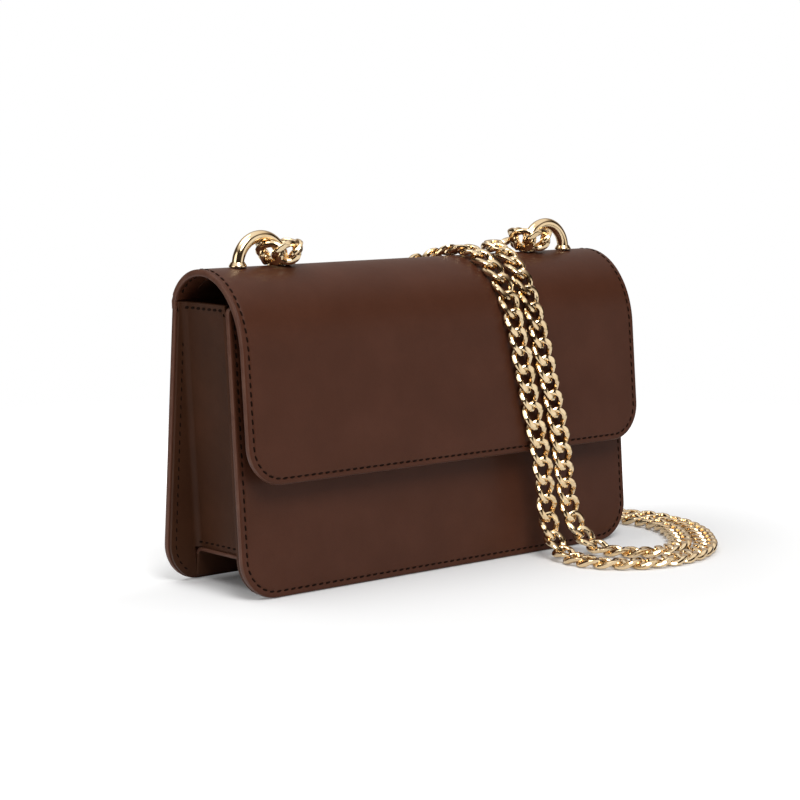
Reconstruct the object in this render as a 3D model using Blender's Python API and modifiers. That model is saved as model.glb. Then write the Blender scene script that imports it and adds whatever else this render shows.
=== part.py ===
"""Small structured leather flap bag with a curb chain strap folded double."""

import math

import bmesh
import bpy
from mathutils import Matrix, Vector

MM = 0.001

# Body: front and back panels
BODY_WIDTH = 220 * MM
BASE_DEPTH = 56.8 * MM
FRONT_HEIGHT = 117.8 * MM
FRONT_TOP_Y = -19.7 * MM
HINGE_Z = 118.3 * MM
BACK_TOP_Y = 18.9 * MM
PANEL_THICK = 3 * MM
PANEL_CORNER = 17 * MM
PANEL_TOP_CORNER = 3 * MM
SEAT_GAP = 0.3 * MM
CUT_OVERRUN = 6 * MM

# Gussets: channels with flanges turned out against the panels
GUSSET_TOP = 117.9 * MM
GUSSET_THICK = 1.4 * MM
GUSSET_TOP_RECESS = 3 * MM
GUSSET_FOOT_RECESS = 15 * MM
GUSSET_FILLET = 3 * MM
GUSSET_EDGE_INSET = 0.6 * MM
GUSSET_FLANGE_FOOT = 1.6 * MM
GUSSET_SAG = 1.5 * MM

# Base: raised plate with flanges turned down, and its board
BASE_UNDERSIDE = 12.6 * MM
BASE_THICK = 1.8 * MM
BASE_FLANGE_FOOT = 1.6 * MM
BASE_CORNER = 2.5 * MM
BOARD_THICK = 1.4 * MM
BOARD_INSET = 2.5 * MM

# Linings and slip pocket
LINING_THICK = 0.6 * MM
LINING_TOP = 112.5 * MM
LINING_SIDE_GAP = 0.8 * MM
POCKET_WIDTH = 130 * MM
POCKET_HEIGHT = 58 * MM
POCKET_FOOT = 38 * MM
POCKET_THICK = 0.9 * MM
POCKET_CORNER = 8 * MM

# Flap: inner profile of two quarter ellipses and a leaning straight
FLAP_WIDTH = 221.8 * MM
FLAP_THICK = 3 * MM
FLAP_CROWN_Y = -1.5 * MM
FLAP_CROWN_Z = 129 * MM
FLAP_BACK_REACH = 17.6 * MM
FLAP_BACK_DROP = 15 * MM
FLAP_FRONT_REACH = 26.2 * MM
FLAP_FRONT_DROP = 33 * MM
FLAP_FOOT_Z = 47 * MM
FLAP_LEAN = math.radians(4.65)
FLAP_CORNER = 16 * MM
FLAP_HINGE_GAP = 0.3 * MM
FLAP_LINING_THICK = 0.4 * MM
FLAP_LINING_INSET = 9 * MM
FLAP_LINING_CORNER = 9 * MM

# Magnetic snap: its depths are shares of the free space between flap and front panel
SNAP_Z = 62 * MM
SNAP_RADIUS = 7.5 * MM
SNAP_SOCKET_SHARE = 0.54
SNAP_RECESS_RADIUS = 3.9 * MM
SNAP_RECESS_SHARE = 0.25
SNAP_CAP_RADIUS = 6.6 * MM
SNAP_CAP_SHARE = 0.36
SNAP_STUD_RADIUS = 2 * MM
SNAP_STUD_SHARE = 0.15
SNAP_POST_RADIUS = 1.6 * MM
SNAP_POST_LENGTH = 1.8 * MM
SNAP_BEVEL_SHARE = 0.11

# Arches: half rings that the strap's ends are looped round
ARCH_X = 81.2 * MM
ARCH_Y = -3 * MM
ARCH_RADIUS = 11.5 * MM
ARCH_WIRE_RADIUS = 2.5 * MM
ARCH_LEG = 0.4 * MM
ARCH_SEAT_Z = 132.3 * MM
COLLAR_RADIUS = 3.7 * MM
COLLAR_HEIGHT = 1.7 * MM
COLLAR_EDGE = 0.5 * MM
SCREW_RADIUS = 1.3 * MM
SCREW_BORE_DEPTH = 4.5 * MM
SCREW_TIP_GAP = 0.8 * MM
SCREW_HEAD_RADIUS = 2.8 * MM
SCREW_HEAD_HEIGHT = 1.5 * MM
WASHER_RADIUS = 3.6 * MM
WASHER_THICK = 0.7 * MM
WASHER_DROP = 0.8 * MM

# Curb chain: twisted oval links of round wire
LINK_LENGTH = 12.3 * MM
LINK_WIDTH = 10.4 * MM
LINK_PITCH = 8.1 * MM
LINK_HALF_WIRE = 0.84 * MM
LINK_TWIST = 1.7 * MM
LINK_POINTS = 8
RING_LINKS = 6
RING_PITCH = 7.6 * MM
RING_Z = 138.6 * MM
RING_OFFSET = 1.75 * MM
RING_RISE = 1.55 * MM
RING_LEAN = math.radians(157)
RING_TURN = math.radians(49)

# Counts of segments
CORNER_STEPS = 6
CROWN_STEPS = 9
ROUND_STEPS = 16
ARCH_STEPS = 14
ARCH_SIDES_RESOLUTION = 2
GUSSET_LEVELS = 5

FLAP_PIECES = ("flap", "arch_", "collar_", "washer_", "screw_", "snap_cap",
               "chain_left_ring", "chain_right_ring", "chain_left_run", "chain_right_run",
               "chain_left_drape", "chain_right_drape")

HALF_WIDTH = BODY_WIDTH / 2
HALF_DEPTH = BASE_DEPTH / 2

LEATHER = ("smooth_calf_leather", (0.060, 0.024, 0.016), 0.42, 0.0)
SIDE_LEATHER = ("gusset_calf_leather", (0.040, 0.017, 0.012), 0.45, 0.0)
LINING = ("woven_lining", (0.030, 0.018, 0.013), 0.80, 0.0)
BOARD = ("fibre_board", (0.180, 0.120, 0.070), 0.85, 0.0)
GOLD = ("polished_gold_plate", (0.830, 0.560, 0.270), 0.12, 1.0)
STEEL = ("nickel_plated_steel", (0.640, 0.620, 0.580), 0.25, 1.0)

# Strap route rows: x, y, z in metres and the tilt of the links' flat side in
# degrees, from facing up (0) towards facing the front (90) or the back (-90)
LEFT_RUN = [
    (-0.0630, 0.0083, 0.1333, -22), (-0.0586, 0.0129, 0.1304, -35), (-0.0526, 0.0166, 0.1273, -49),
    (-0.0440, 0.0184, 0.1252, -56), (-0.0300, 0.0185, 0.1251, -56), (-0.0140, 0.0185, 0.1251, -56),
    (0.0020, 0.0185, 0.1251, -56), (0.0120, 0.0179, 0.1260, -54), (0.0200, 0.0158, 0.1282, -45),
    (0.0262, 0.0118, 0.1312, -31), (0.0298, 0.0065, 0.1335, -16), (0.0312, 0.0005, 0.1347, -3),
    (0.0312, -0.0056, 0.1345, 10), (0.0311, -0.0115, 0.1330, 22), (0.0315, -0.0170, 0.1299, 35),
    (0.0325, -0.0222, 0.1255, 47), (0.0330, -0.0267, 0.1195, 59), (0.0332, -0.0301, 0.1126, 69),
    (0.0336, -0.0316, 0.1078, 75),
]
LEFT_DRAPE = [
    (0.0336, -0.0316, 0.1078, 75), (0.0346, -0.0329, 0.1010, 81), (0.0364, -0.0339, 0.0920, 85),
    (0.0390, -0.0349, 0.0780, 85), (0.0420, -0.0361, 0.0630, 85), (0.0450, -0.0373, 0.0480, 85),
    (0.0465, -0.0380, 0.0380, 88), (0.0474, -0.0384, 0.0290, 88), (0.0483, -0.0388, 0.0200, 88),
    (0.0488, -0.0397, 0.0140, 72), (0.0487, -0.0427, 0.0083, 52), (0.0480, -0.0474, 0.0044, 28),
]
LEFT_FALL = [
    (0.0480, -0.0474, 0.0044, 28), (0.0467, -0.0532, 0.0027, 8), (0.0458, -0.0600, 0.0024, 0),
    (0.0466, -0.0692, 0.0024, 0), (0.0521, -0.0772, 0.0024, 0), (0.0602, -0.0830, 0.0024, 0),
    (0.0700, -0.0862, 0.0024, 0), (0.0812, -0.0866, 0.0024, 0), (0.0922, -0.0853, 0.0024, 0),
    (0.1032, -0.0808, 0.0024, 0), (0.1141, -0.0735, 0.0024, 0), (0.1235, -0.0636, 0.0024, 0),
    (0.1322, -0.0536, 0.0024, 0), (0.1395, -0.0425, 0.0024, 0), (0.1446, -0.0305, 0.0024, 0),
    (0.1470, -0.0180, 0.0024, 0), (0.1463, -0.0050, 0.0024, 0),
]
RIGHT_RUN = [
    (0.0604, 0.0014, 0.1367, 0), (0.0569, 0.0029, 0.1363, 0), (0.0532, 0.0027, 0.1358, -3),
    (0.0504, 0.0004, 0.1353, 0), (0.0489, -0.0032, 0.1350, 6), (0.0480, -0.0074, 0.1344, 14),
    (0.0472, -0.0120, 0.1327, 24), (0.0464, -0.0168, 0.1299, 35), (0.0458, -0.0216, 0.1260, 46),
    (0.0454, -0.0256, 0.1212, 57), (0.0456, -0.0281, 0.1170, 63),
]
RIGHT_DRAPE = [
    (0.0456, -0.0281, 0.1170, 63), (0.0461, -0.0305, 0.1110, 71), (0.0471, -0.0325, 0.1040, 79),
    (0.0489, -0.0337, 0.0935, 85), (0.0524, -0.0349, 0.0785, 85), (0.0556, -0.0361, 0.0635, 85),
    (0.0578, -0.0373, 0.0485, 85), (0.0590, -0.0380, 0.0380, 88), (0.0603, -0.0384, 0.0290, 88),
    (0.0622, -0.0388, 0.0205, 88), (0.0641, -0.0400, 0.0142, 72), (0.0659, -0.0431, 0.0084, 52),
    (0.0676, -0.0480, 0.0044, 28),
]
RIGHT_FALL = [
    (0.0676, -0.0480, 0.0044, 28), (0.0697, -0.0535, 0.0027, 8), (0.0726, -0.0592, 0.0024, 0),
    (0.0764, -0.0648, 0.0024, 0), (0.0822, -0.0694, 0.0024, 0), (0.0896, -0.0713, 0.0024, 0),
    (0.0980, -0.0693, 0.0024, 0), (0.1071, -0.0643, 0.0024, 0), (0.1156, -0.0559, 0.0024, 0),
    (0.1234, -0.0465, 0.0024, 0), (0.1296, -0.0371, 0.0024, 0), (0.1338, -0.0272, 0.0024, 0),
    (0.1357, -0.0170, 0.0024, 0), (0.1349, -0.0060, 0.0024, 0),
]
FOLD = [
    (0.1463, -0.0050, 0.0024, 0), (0.1425, 0.0072, 0.0024, 0), (0.1380, 0.0186, 0.0024, 0),
    (0.1330, 0.0300, 0.0024, 0), (0.1276, 0.0415, 0.0024, 0), (0.1210, 0.0530, 0.0024, 0),
    (0.1120, 0.0635, 0.0024, 0), (0.1005, 0.0695, 0.0024, 0), (0.0885, 0.0690, 0.0024, 0),
    (0.0800, 0.0620, 0.0024, 0), (0.0775, 0.0515, 0.0024, 0), (0.0825, 0.0420, 0.0024, 0),
    (0.0925, 0.0374, 0.0024, 0), (0.1030, 0.0384, 0.0024, 0), (0.1130, 0.0355, 0.0024, 0),
    (0.1206, 0.0275, 0.0024, 0), (0.1260, 0.0170, 0.0024, 0), (0.1310, 0.0055, 0.0024, 0),
    (0.1349, -0.0060, 0.0024, 0),
]


def clear_scene():
    """Remove every object that the file holds."""
    for item in list(bpy.data.objects):
        bpy.data.objects.remove(item, do_unlink=True)


def make_collection(name):
    """Make a collection in the scene."""
    group = bpy.data.collections.new(name)
    bpy.context.scene.collection.children.link(group)
    return group


clear_scene()
PARTS = make_collection("chain_strap_flap_bag")
CUTTERS = make_collection("cutters")
MATERIALS = {}


def material(finish):
    """Return the Principled material of a finish, made once."""
    name, colour, roughness, metallic = finish
    if name not in MATERIALS:
        made = bpy.data.materials.new(name)
        made.use_nodes = True
        shader = made.node_tree.nodes["Principled BSDF"]
        shader.inputs["Base Color"].default_value = (*colour, 1)
        shader.inputs["Roughness"].default_value = roughness
        shader.inputs["Metallic"].default_value = metallic
        MATERIALS[name] = made
    return MATERIALS[name]


def add_object(name, data, finish=None):
    """Link an object for some data; without a finish it is a cutter."""
    item = bpy.data.objects.new(name, data)
    if finish is None:
        CUTTERS.objects.link(item)
        item.hide_render = True
        item.display_type = "WIRE"
    else:
        PARTS.objects.link(item)
        data.materials.append(material(finish))
    return item


def to_mesh(item, finish=None):
    """Turn a curve object into a welded mesh object of the same name and place."""
    bpy.context.view_layer.update()
    seen = item.evaluated_get(bpy.context.evaluated_depsgraph_get())
    mesh = bpy.data.meshes.new_from_object(seen)
    shape = bmesh.new()
    shape.from_mesh(mesh)
    bmesh.ops.remove_doubles(shape, verts=shape.verts, dist=SEAT_GAP / ROUND_STEPS)
    bmesh.ops.recalc_face_normals(shape, faces=shape.faces)
    shape.to_mesh(mesh)
    shape.free()
    mesh.materials.clear()
    name, place = item.name, item.matrix_world.copy()
    bpy.data.objects.remove(item, do_unlink=True)
    made = add_object(name, mesh, finish)
    made.matrix_world = place
    return made


def boolean(item, cutter, operation="DIFFERENCE"):
    """Cut an object with a cutter, or keep what they share."""
    step = item.modifiers.new(operation.lower(), "BOOLEAN")
    step.operation = operation
    step.solver = "EXACT"
    step.object = cutter
    return step


def rounded_outline(corners):
    """Points of a polygon with round corners.

    Each corner is ((x, y), radius); a radius of zero keeps it sharp.
    """
    points = []
    for index, (corner, radius) in enumerate(corners):
        here = Vector(corner)
        before = (Vector(corners[index - 1][0]) - here).normalized()
        after = (Vector(corners[(index + 1) % len(corners)][0]) - here).normalized()
        if radius == 0:
            points.append(here)
            continue
        half = before.angle(after) / 2
        centre = here + (before + after).normalized() * (radius / math.sin(half))
        start = here + before * (radius / math.tan(half)) - centre
        turn = math.pi - 2 * half
        cross = before.x * after.y - before.y * after.x
        sense = -1 if cross > 0 else 1
        for step in range(CORNER_STEPS + 1):
            angle = sense * turn * step / CORNER_STEPS
            cosine, sine = math.cos(angle), math.sin(angle)
            spoke = Vector((start.x * cosine - start.y * sine, start.x * sine + start.y * cosine))
            points.append(centre + spoke)
    return points


def flat_plate(name, points, thickness, finish=None):
    """Make a plate of an outline in its local XY plane, as a 2D curve."""
    curve = bpy.data.curves.new(name, "CURVE")
    curve.dimensions = "2D"
    curve.fill_mode = "BOTH"
    curve.extrude = thickness / 2
    spline = curve.splines.new("POLY")
    spline.points.add(len(points) - 1)
    for slot, point in zip(spline.points, points):
        slot.co = (point[0], point[1], 0, 1)
    spline.use_cyclic_u = True
    return to_mesh(add_object(name, curve), finish)


def box(name, low, high):
    """Make a box cutter between two corners."""
    shape = bmesh.new()
    bmesh.ops.create_cube(shape, size=1)
    low, high = Vector(low), Vector(high)
    size = high - low
    bmesh.ops.scale(shape, vec=size, verts=shape.verts)
    bmesh.ops.translate(shape, vec=(low + high) / 2, verts=shape.verts)
    mesh = bpy.data.meshes.new(name)
    shape.to_mesh(mesh)
    shape.free()
    return add_object(name, mesh)


def turned(name, profile, finish=None):
    """Turn a profile of (radius, height) points about local Z, top to bottom."""
    mesh = bpy.data.meshes.new(name)
    points = [(radius, 0, height) for radius, height in profile]
    edges = [(index, index + 1) for index in range(len(points) - 1)]
    if profile[0][0] > 0:
        edges.append((len(points) - 1, 0))
    mesh.from_pydata(points, edges, [])
    item = add_object(name, mesh, finish)
    screw = item.modifiers.new("turn", "SCREW")
    screw.steps = ROUND_STEPS
    screw.render_steps = ROUND_STEPS
    screw.use_merge_vertices = True
    screw.merge_threshold = SEAT_GAP / ROUND_STEPS
    screw.use_smooth_shade = True
    return item


def ribbon(name, profile, half_width, thickness, finish=None):
    """Carry an open profile of (y, z) points along X and give it a wall on its left."""
    curve = bpy.data.curves.new(name, "CURVE")
    curve.dimensions = "3D"
    spline = curve.splines.new("POLY")
    spline.points.add(len(profile) - 1)
    for slot, (across, height) in zip(spline.points, profile):
        slot.co = (across, height, 0, 1)
    curve.extrude = half_width
    item = add_object(name, curve)
    item.matrix_world = Matrix(((0, 0, 1, 0), (1, 0, 0, 0), (0, 1, 0, 0), (0, 0, 0, 1)))
    item = to_mesh(item, finish)
    item.data.transform(item.matrix_world)
    item.matrix_world = Matrix.Identity(4)
    wall = item.modifiers.new("wall", "SOLIDIFY")
    wall.thickness = thickness
    wall.offset = 1
    wall.use_even_offset = True
    return item


def front_outer_y(height):
    """Outer face of the front panel at a height."""
    return -HALF_DEPTH + (FRONT_TOP_Y + HALF_DEPTH) * height / FRONT_HEIGHT


def back_outer_y(height):
    """Outer face of the back panel at a height."""
    return HALF_DEPTH + (BACK_TOP_Y - HALF_DEPTH) * height / HINGE_Z


FRONT_LEAN = math.atan((FRONT_TOP_Y + HALF_DEPTH) / FRONT_HEIGHT)
BACK_LEAN = math.atan((HALF_DEPTH - BACK_TOP_Y) / HINGE_Z)


def front_depth(height, inside):
    """Y at a distance inside the front panel's outer face, square to the panel."""
    return front_outer_y(height) + inside / math.cos(FRONT_LEAN)


def back_depth(height, inside):
    """Y at a distance inside the back panel's outer face, square to the panel."""
    return back_outer_y(height) - inside / math.cos(BACK_LEAN)


def lean_plate(item, front, inside, height):
    """Stand a plate drawn in its XY plane against a panel.

    Its Y zero goes to a height and its middle to a depth inside the outer face.
    """
    if front:
        item.location = (0, front_depth(height, inside), height)
        item.rotation_euler = (math.pi / 2 - FRONT_LEAN, 0, 0)
    else:
        item.location = (0, back_depth(height, inside), height)
        item.rotation_euler = (math.pi / 2 + BACK_LEAN, 0, 0)


def panel(name, front, height):
    """Make the front or back panel: leaning plate with large round lower corners."""
    lean = FRONT_LEAN if front else BACK_LEAN
    length = height / math.cos(lean)
    top_corner = PANEL_TOP_CORNER if front else 0
    foot = -PANEL_THICK * math.sin(lean)
    outline = rounded_outline([
        ((-HALF_WIDTH, foot), PANEL_CORNER), ((HALF_WIDTH, foot), PANEL_CORNER),
        ((HALF_WIDTH, length), top_corner), ((-HALF_WIDTH, length), top_corner),
    ])
    item = flat_plate(name, outline, PANEL_THICK, LEATHER)
    lean_plate(item, front, PANEL_THICK / 2, 0)
    boolean(item, FLOOR_CUTTER)
    return item


def flap_profile(inset=0.0, foot_raise=0.0):
    """Inner profile of the flap from the hinge over the crown to its foot.

    The back quarter ellipse starts above its own foot, at the hinge's height,
    the front one runs down until its slope is the lean of the straight.
    """
    centre = FLAP_CROWN_Z - FLAP_BACK_DROP
    first = math.asin((HINGE_Z + FLAP_HINGE_GAP - centre) / FLAP_BACK_DROP)
    points = []
    for step in range(CROWN_STEPS):
        angle = first + (math.pi / 2 - first) * step / CROWN_STEPS
        normal = Vector((math.cos(angle) / FLAP_BACK_REACH, math.sin(angle) / FLAP_BACK_DROP)).normalized()
        points.append(Vector((FLAP_CROWN_Y + FLAP_BACK_REACH * math.cos(angle),
                              centre + FLAP_BACK_DROP * math.sin(angle))) - normal * inset)
    last = math.atan(math.tan(FLAP_LEAN) * FLAP_FRONT_DROP / FLAP_FRONT_REACH)
    low = FLAP_CROWN_Z - FLAP_FRONT_DROP
    for step in range(CROWN_STEPS + 1):
        angle = math.pi / 2 + (last - math.pi / 2) * step / CROWN_STEPS
        normal = Vector((-math.cos(angle) / FLAP_FRONT_REACH, math.sin(angle) / FLAP_FRONT_DROP)).normalized()
        points.append(Vector((FLAP_CROWN_Y - FLAP_FRONT_REACH * math.cos(angle),
                              low + FLAP_FRONT_DROP * math.sin(angle))) - normal * inset)
    end = points[-1]
    fall = end.y - FLAP_FOOT_Z - foot_raise
    points.append(Vector((end.x - fall * math.tan(FLAP_LEAN), end.y - fall)))
    return points


def flap_inner_y(height):
    """Inner face of the flap's straight front at a height."""
    return flap_profile()[-1].x + (height - FLAP_FOOT_Z) * math.tan(FLAP_LEAN)


def flap_outline_cutter(name, half_width, foot, corner, top):
    """Prism along Y whose lower corners are round."""
    outline = rounded_outline([
        ((-half_width, foot), corner), ((half_width, foot), corner),
        ((half_width, top), 0), ((-half_width, top), 0),
    ])
    cutter = flat_plate(name, outline, 4 * BASE_DEPTH)
    cutter.rotation_euler = (math.pi / 2, 0, 0)
    return cutter


def make_flap():
    """Make the flap, its lining and the holes that its fittings pass through."""
    reach = FLAP_WIDTH / 2
    flap = ribbon("flap", flap_profile(), reach + CUT_OVERRUN, FLAP_THICK, LEATHER)
    foot = FLAP_FOOT_Z + FLAP_THICK * math.sin(FLAP_LEAN)
    cutter = flap_outline_cutter("flap_outline", reach, foot, FLAP_CORNER, FLAP_CROWN_Z + BASE_DEPTH)
    boolean(flap, cutter, "INTERSECT")

    lining_foot = FLAP_LINING_INSET + FLAP_FOOT_Z
    lining_profile = flap_profile(SEAT_GAP + FLAP_LINING_THICK)
    lining_profile = lining_profile[2:]
    inner = ribbon("flap_lining", lining_profile, reach, FLAP_LINING_THICK, LINING)
    inner_cutter = flap_outline_cutter("flap_lining_outline", reach - FLAP_LINING_INSET, lining_foot,
                                       FLAP_LINING_CORNER, FLAP_CROWN_Z + BASE_DEPTH)
    boolean(inner, inner_cutter, "INTERSECT")
    for side in (-1, 1):
        for leg in (-1, 1):
            hole = turned(f"screw_hole_{side}_{leg}", disc_profile(
                SCREW_RADIUS + SEAT_GAP, ARCH_SEAT_Z, FLAP_CROWN_Z - FLAP_FRONT_DROP / 2))
            hole.location = (side * ARCH_X + leg * ARCH_RADIUS, ARCH_Y, 0)
            boolean(flap, hole)
            boolean(inner, hole)
    hole = turned("snap_post_hole", disc_profile(
        SNAP_POST_RADIUS + SEAT_GAP, SNAP_POST_LENGTH + SEAT_GAP, -2 * FLAP_LINING_THICK - SEAT_GAP))
    place_on_flap(hole, 0)
    boolean(flap, hole)
    boolean(inner, hole)


def place_on_flap(item, inset):
    """Stand a turned piece on the flap's inner face, its Z pointing into the flap."""
    depth = flap_inner_y(SNAP_Z) + inset * math.cos(FLAP_LEAN)
    item.location = (0, depth, SNAP_Z - inset * math.sin(FLAP_LEAN))
    item.rotation_euler = (math.pi / 2 - FLAP_LEAN, 0, 0)


def disc_profile(radius, top, bottom):
    """Profile of a solid disc from its top centre to its bottom centre."""
    return [(0, top), (radius, top), (radius, bottom), (0, bottom)]


def gusset_wall_x(height):
    """Middle of the gusset's wall, measured from the bag's centre."""
    share = (height - BASE_UNDERSIDE) / (GUSSET_TOP - BASE_UNDERSIDE)
    recess = GUSSET_FOOT_RECESS + (GUSSET_TOP_RECESS - GUSSET_FOOT_RECESS) * share
    return HALF_WIDTH - recess - GUSSET_THICK / 2


def gusset_section(height):
    """Plan section of the gusset's middle surface at a height, front flange to back."""
    inside = PANEL_THICK + SEAT_GAP + GUSSET_THICK / 2
    front, back = front_depth(height, inside), back_depth(height, inside)
    edge = HALF_WIDTH - GUSSET_EDGE_INSET
    share = (height - BASE_UNDERSIDE) / (GUSSET_TOP - BASE_UNDERSIDE)
    wall = gusset_wall_x(height)
    sag = GUSSET_SAG * math.sin(math.pi * min(max(share, 0), 1))
    points = [(edge, front)]
    for step in range(CORNER_STEPS // 2 + 1):
        angle = math.pi / 2 * step / (CORNER_STEPS // 2)
        inward = GUSSET_FILLET * (1 - math.sin(angle))
        points.append((wall + inward, front + GUSSET_FILLET * (1 - math.cos(angle))))
    points.append((wall - sag, (front + back) / 2))
    for step in range(CORNER_STEPS // 2 + 1):
        angle = math.pi / 2 * (1 - step / (CORNER_STEPS // 2))
        inward = GUSSET_FILLET * (1 - math.sin(angle))
        points.append((wall + inward, back - GUSSET_FILLET * (1 - math.cos(angle))))
    points.append((edge, back))
    return points


def make_gusset(name, side):
    """Loft the gusset's sections from its feet to its top and trim it to the panels."""
    shape = bmesh.new()
    rows = []
    for level in range(GUSSET_LEVELS):
        height = GUSSET_FLANGE_FOOT + (GUSSET_TOP - GUSSET_FLANGE_FOOT) * level / (GUSSET_LEVELS - 1)
        section = gusset_section(height)
        rows.append([shape.verts.new((side * across, depth, height)) for across, depth in section])
    for lower, upper in zip(rows, rows[1:]):
        for index in range(len(lower) - 1):
            shape.faces.new((lower[index], lower[index + 1], upper[index + 1], upper[index]))
    bmesh.ops.recalc_face_normals(shape, faces=shape.faces)
    mesh = bpy.data.meshes.new(name)
    shape.to_mesh(mesh)
    shape.free()
    item = add_object(name, mesh, SIDE_LEATHER)
    wall = item.modifiers.new("wall", "SOLIDIFY")
    wall.thickness = GUSSET_THICK
    wall.offset = 0
    wall.use_even_offset = True
    boolean(item, GUSSET_OUTLINE, "INTERSECT")
    boolean(item, GUSSET_FOOT_CUTTER)
    return item


def make_base():
    """Make the base's plate with its turned-down flanges, and the board on it."""
    inside = PANEL_THICK + SEAT_GAP + BASE_THICK
    top = BASE_UNDERSIDE
    profile = [(back_depth(BASE_FLANGE_FOOT, inside), BASE_FLANGE_FOOT)]
    for step in range(CORNER_STEPS // 2 + 1):
        angle = math.pi / 2 * step / (CORNER_STEPS // 2)
        profile.append((back_depth(top, inside) - BASE_CORNER * (1 - math.cos(angle)),
                        top - BASE_CORNER * (1 - math.sin(angle))))
    for step in range(CORNER_STEPS // 2 + 1):
        angle = math.pi / 2 * (1 - step / (CORNER_STEPS // 2))
        profile.append((front_depth(top, inside) + BASE_CORNER * (1 - math.cos(angle)),
                        top - BASE_CORNER * (1 - math.sin(angle))))
    profile.append((front_depth(BASE_FLANGE_FOOT, inside), BASE_FLANGE_FOOT))
    reach = gusset_wall_x(BASE_UNDERSIDE) - GUSSET_THICK / 2 - SEAT_GAP
    ribbon("base_panel", profile, reach, BASE_THICK, SIDE_LEATHER)
    low = BASE_UNDERSIDE + BASE_THICK + SEAT_GAP
    front = front_depth(low, PANEL_THICK + LINING_THICK + 2 * SEAT_GAP + BOARD_INSET)
    back = back_depth(low, PANEL_THICK + LINING_THICK + 2 * SEAT_GAP + BOARD_INSET)
    half = reach - LINING_THICK - BOARD_INSET
    board = flat_plate("base_board", rounded_outline([
        ((-half, front), BASE_CORNER), ((half, front), BASE_CORNER),
        ((half, back), BASE_CORNER), ((-half, back), BASE_CORNER)]), BOARD_THICK, BOARD)
    board.location = (0, 0, low + BOARD_THICK / 2)


def make_linings():
    """Line the inside of the panels and gussets and sew on the slip pocket."""
    low = BASE_UNDERSIDE + BASE_THICK + SEAT_GAP
    for front, name in ((True, "front_lining"), (False, "back_lining")):
        lean = FRONT_LEAN if front else BACK_LEAN
        length = (LINING_TOP - low) / math.cos(lean)
        foot_half = gusset_wall_x(low) - GUSSET_THICK / 2 - LINING_SIDE_GAP
        top_half = gusset_wall_x(LINING_TOP) - GUSSET_THICK / 2 - LINING_SIDE_GAP - GUSSET_SAG
        outline = [(-foot_half, 0), (foot_half, 0), (top_half, length), (-top_half, length)]
        item = flat_plate(name, outline, LINING_THICK, LINING)
        lean_plate(item, front, PANEL_THICK + SEAT_GAP + LINING_THICK / 2, low)

    inset = PANEL_THICK + LINING_THICK + 2 * SEAT_GAP + LINING_SIDE_GAP
    slope = math.atan((gusset_wall_x(LINING_TOP) - gusset_wall_x(low)) / (LINING_TOP - low))
    length = (LINING_TOP - low) / math.cos(slope)
    for side, name in ((-1, "gusset_lining_left"), (1, "gusset_lining_right")):
        outline = [(front_depth(low, inset), 0), (back_depth(low, inset), 0),
                   (back_depth(LINING_TOP, inset), length), (front_depth(LINING_TOP, inset), length)]
        item = flat_plate(name, outline, LINING_THICK, LINING)
        reach = gusset_wall_x(low) - GUSSET_THICK / 2 - LINING_THICK / 2 - LINING_SIDE_GAP - GUSSET_SAG
        across = Vector((0, 1, 0))
        up = Vector((side * math.sin(slope), 0, math.cos(slope)))
        out = across.cross(up)
        frame = Matrix((across, up, out)).transposed().to_4x4()
        item.matrix_world = Matrix.Translation((side * reach, 0, low)) @ frame

    pocket = flat_plate("slip_pocket", rounded_outline([
        ((-POCKET_WIDTH / 2, 0), POCKET_CORNER), ((POCKET_WIDTH / 2, 0), POCKET_CORNER),
        ((POCKET_WIDTH / 2, POCKET_HEIGHT), 0), ((-POCKET_WIDTH / 2, POCKET_HEIGHT), 0)]),
        POCKET_THICK, LINING)
    lean_plate(pocket, False, PANEL_THICK + LINING_THICK + 2 * SEAT_GAP + POCKET_THICK / 2, POCKET_FOOT)


def make_snap(front_panel):
    """Make the magnetic snap's socket on the front panel and its cap on the flap."""
    seats = 3 * SEAT_GAP + FLAP_LINING_THICK
    space = front_outer_y(SNAP_Z) - flap_inner_y(SNAP_Z) - seats
    bevel = space * SNAP_BEVEL_SHARE
    outward = space * SNAP_SOCKET_SHARE + SEAT_GAP
    recess_floor = outward - space * SNAP_RECESS_SHARE
    socket = turned("snap_socket", [
        (0, recess_floor), (SNAP_RECESS_RADIUS, recess_floor),
        (SNAP_RECESS_RADIUS, outward), (SNAP_RADIUS - bevel, outward),
        (SNAP_RADIUS, outward - bevel), (SNAP_RADIUS, SEAT_GAP),
        (SNAP_POST_RADIUS, SEAT_GAP), (SNAP_POST_RADIUS, -SNAP_POST_LENGTH), (0, -SNAP_POST_LENGTH)], STEEL)
    hole = turned("snap_socket_hole", disc_profile(
        SNAP_POST_RADIUS + SEAT_GAP, CUT_OVERRUN, -SNAP_POST_LENGTH - SEAT_GAP))
    for item in (socket, hole):
        item.location = (0, front_outer_y(SNAP_Z), SNAP_Z)
        item.rotation_euler = (math.pi / 2 - FRONT_LEAN, 0, 0)
    boolean(front_panel, hole)

    low = -SEAT_GAP
    face = low - space * SNAP_CAP_SHARE
    tip = face - space * SNAP_STUD_SHARE
    cap = turned("snap_cap", [
        (0, SNAP_POST_LENGTH), (SNAP_POST_RADIUS, SNAP_POST_LENGTH), (SNAP_POST_RADIUS, low),
        (SNAP_CAP_RADIUS, low), (SNAP_CAP_RADIUS, face + bevel), (SNAP_CAP_RADIUS - bevel, face),
        (SNAP_STUD_RADIUS, face), (SNAP_STUD_RADIUS, tip), (0, tip)], STEEL)
    place_on_flap(cap, SEAT_GAP + FLAP_LINING_THICK)


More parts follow.
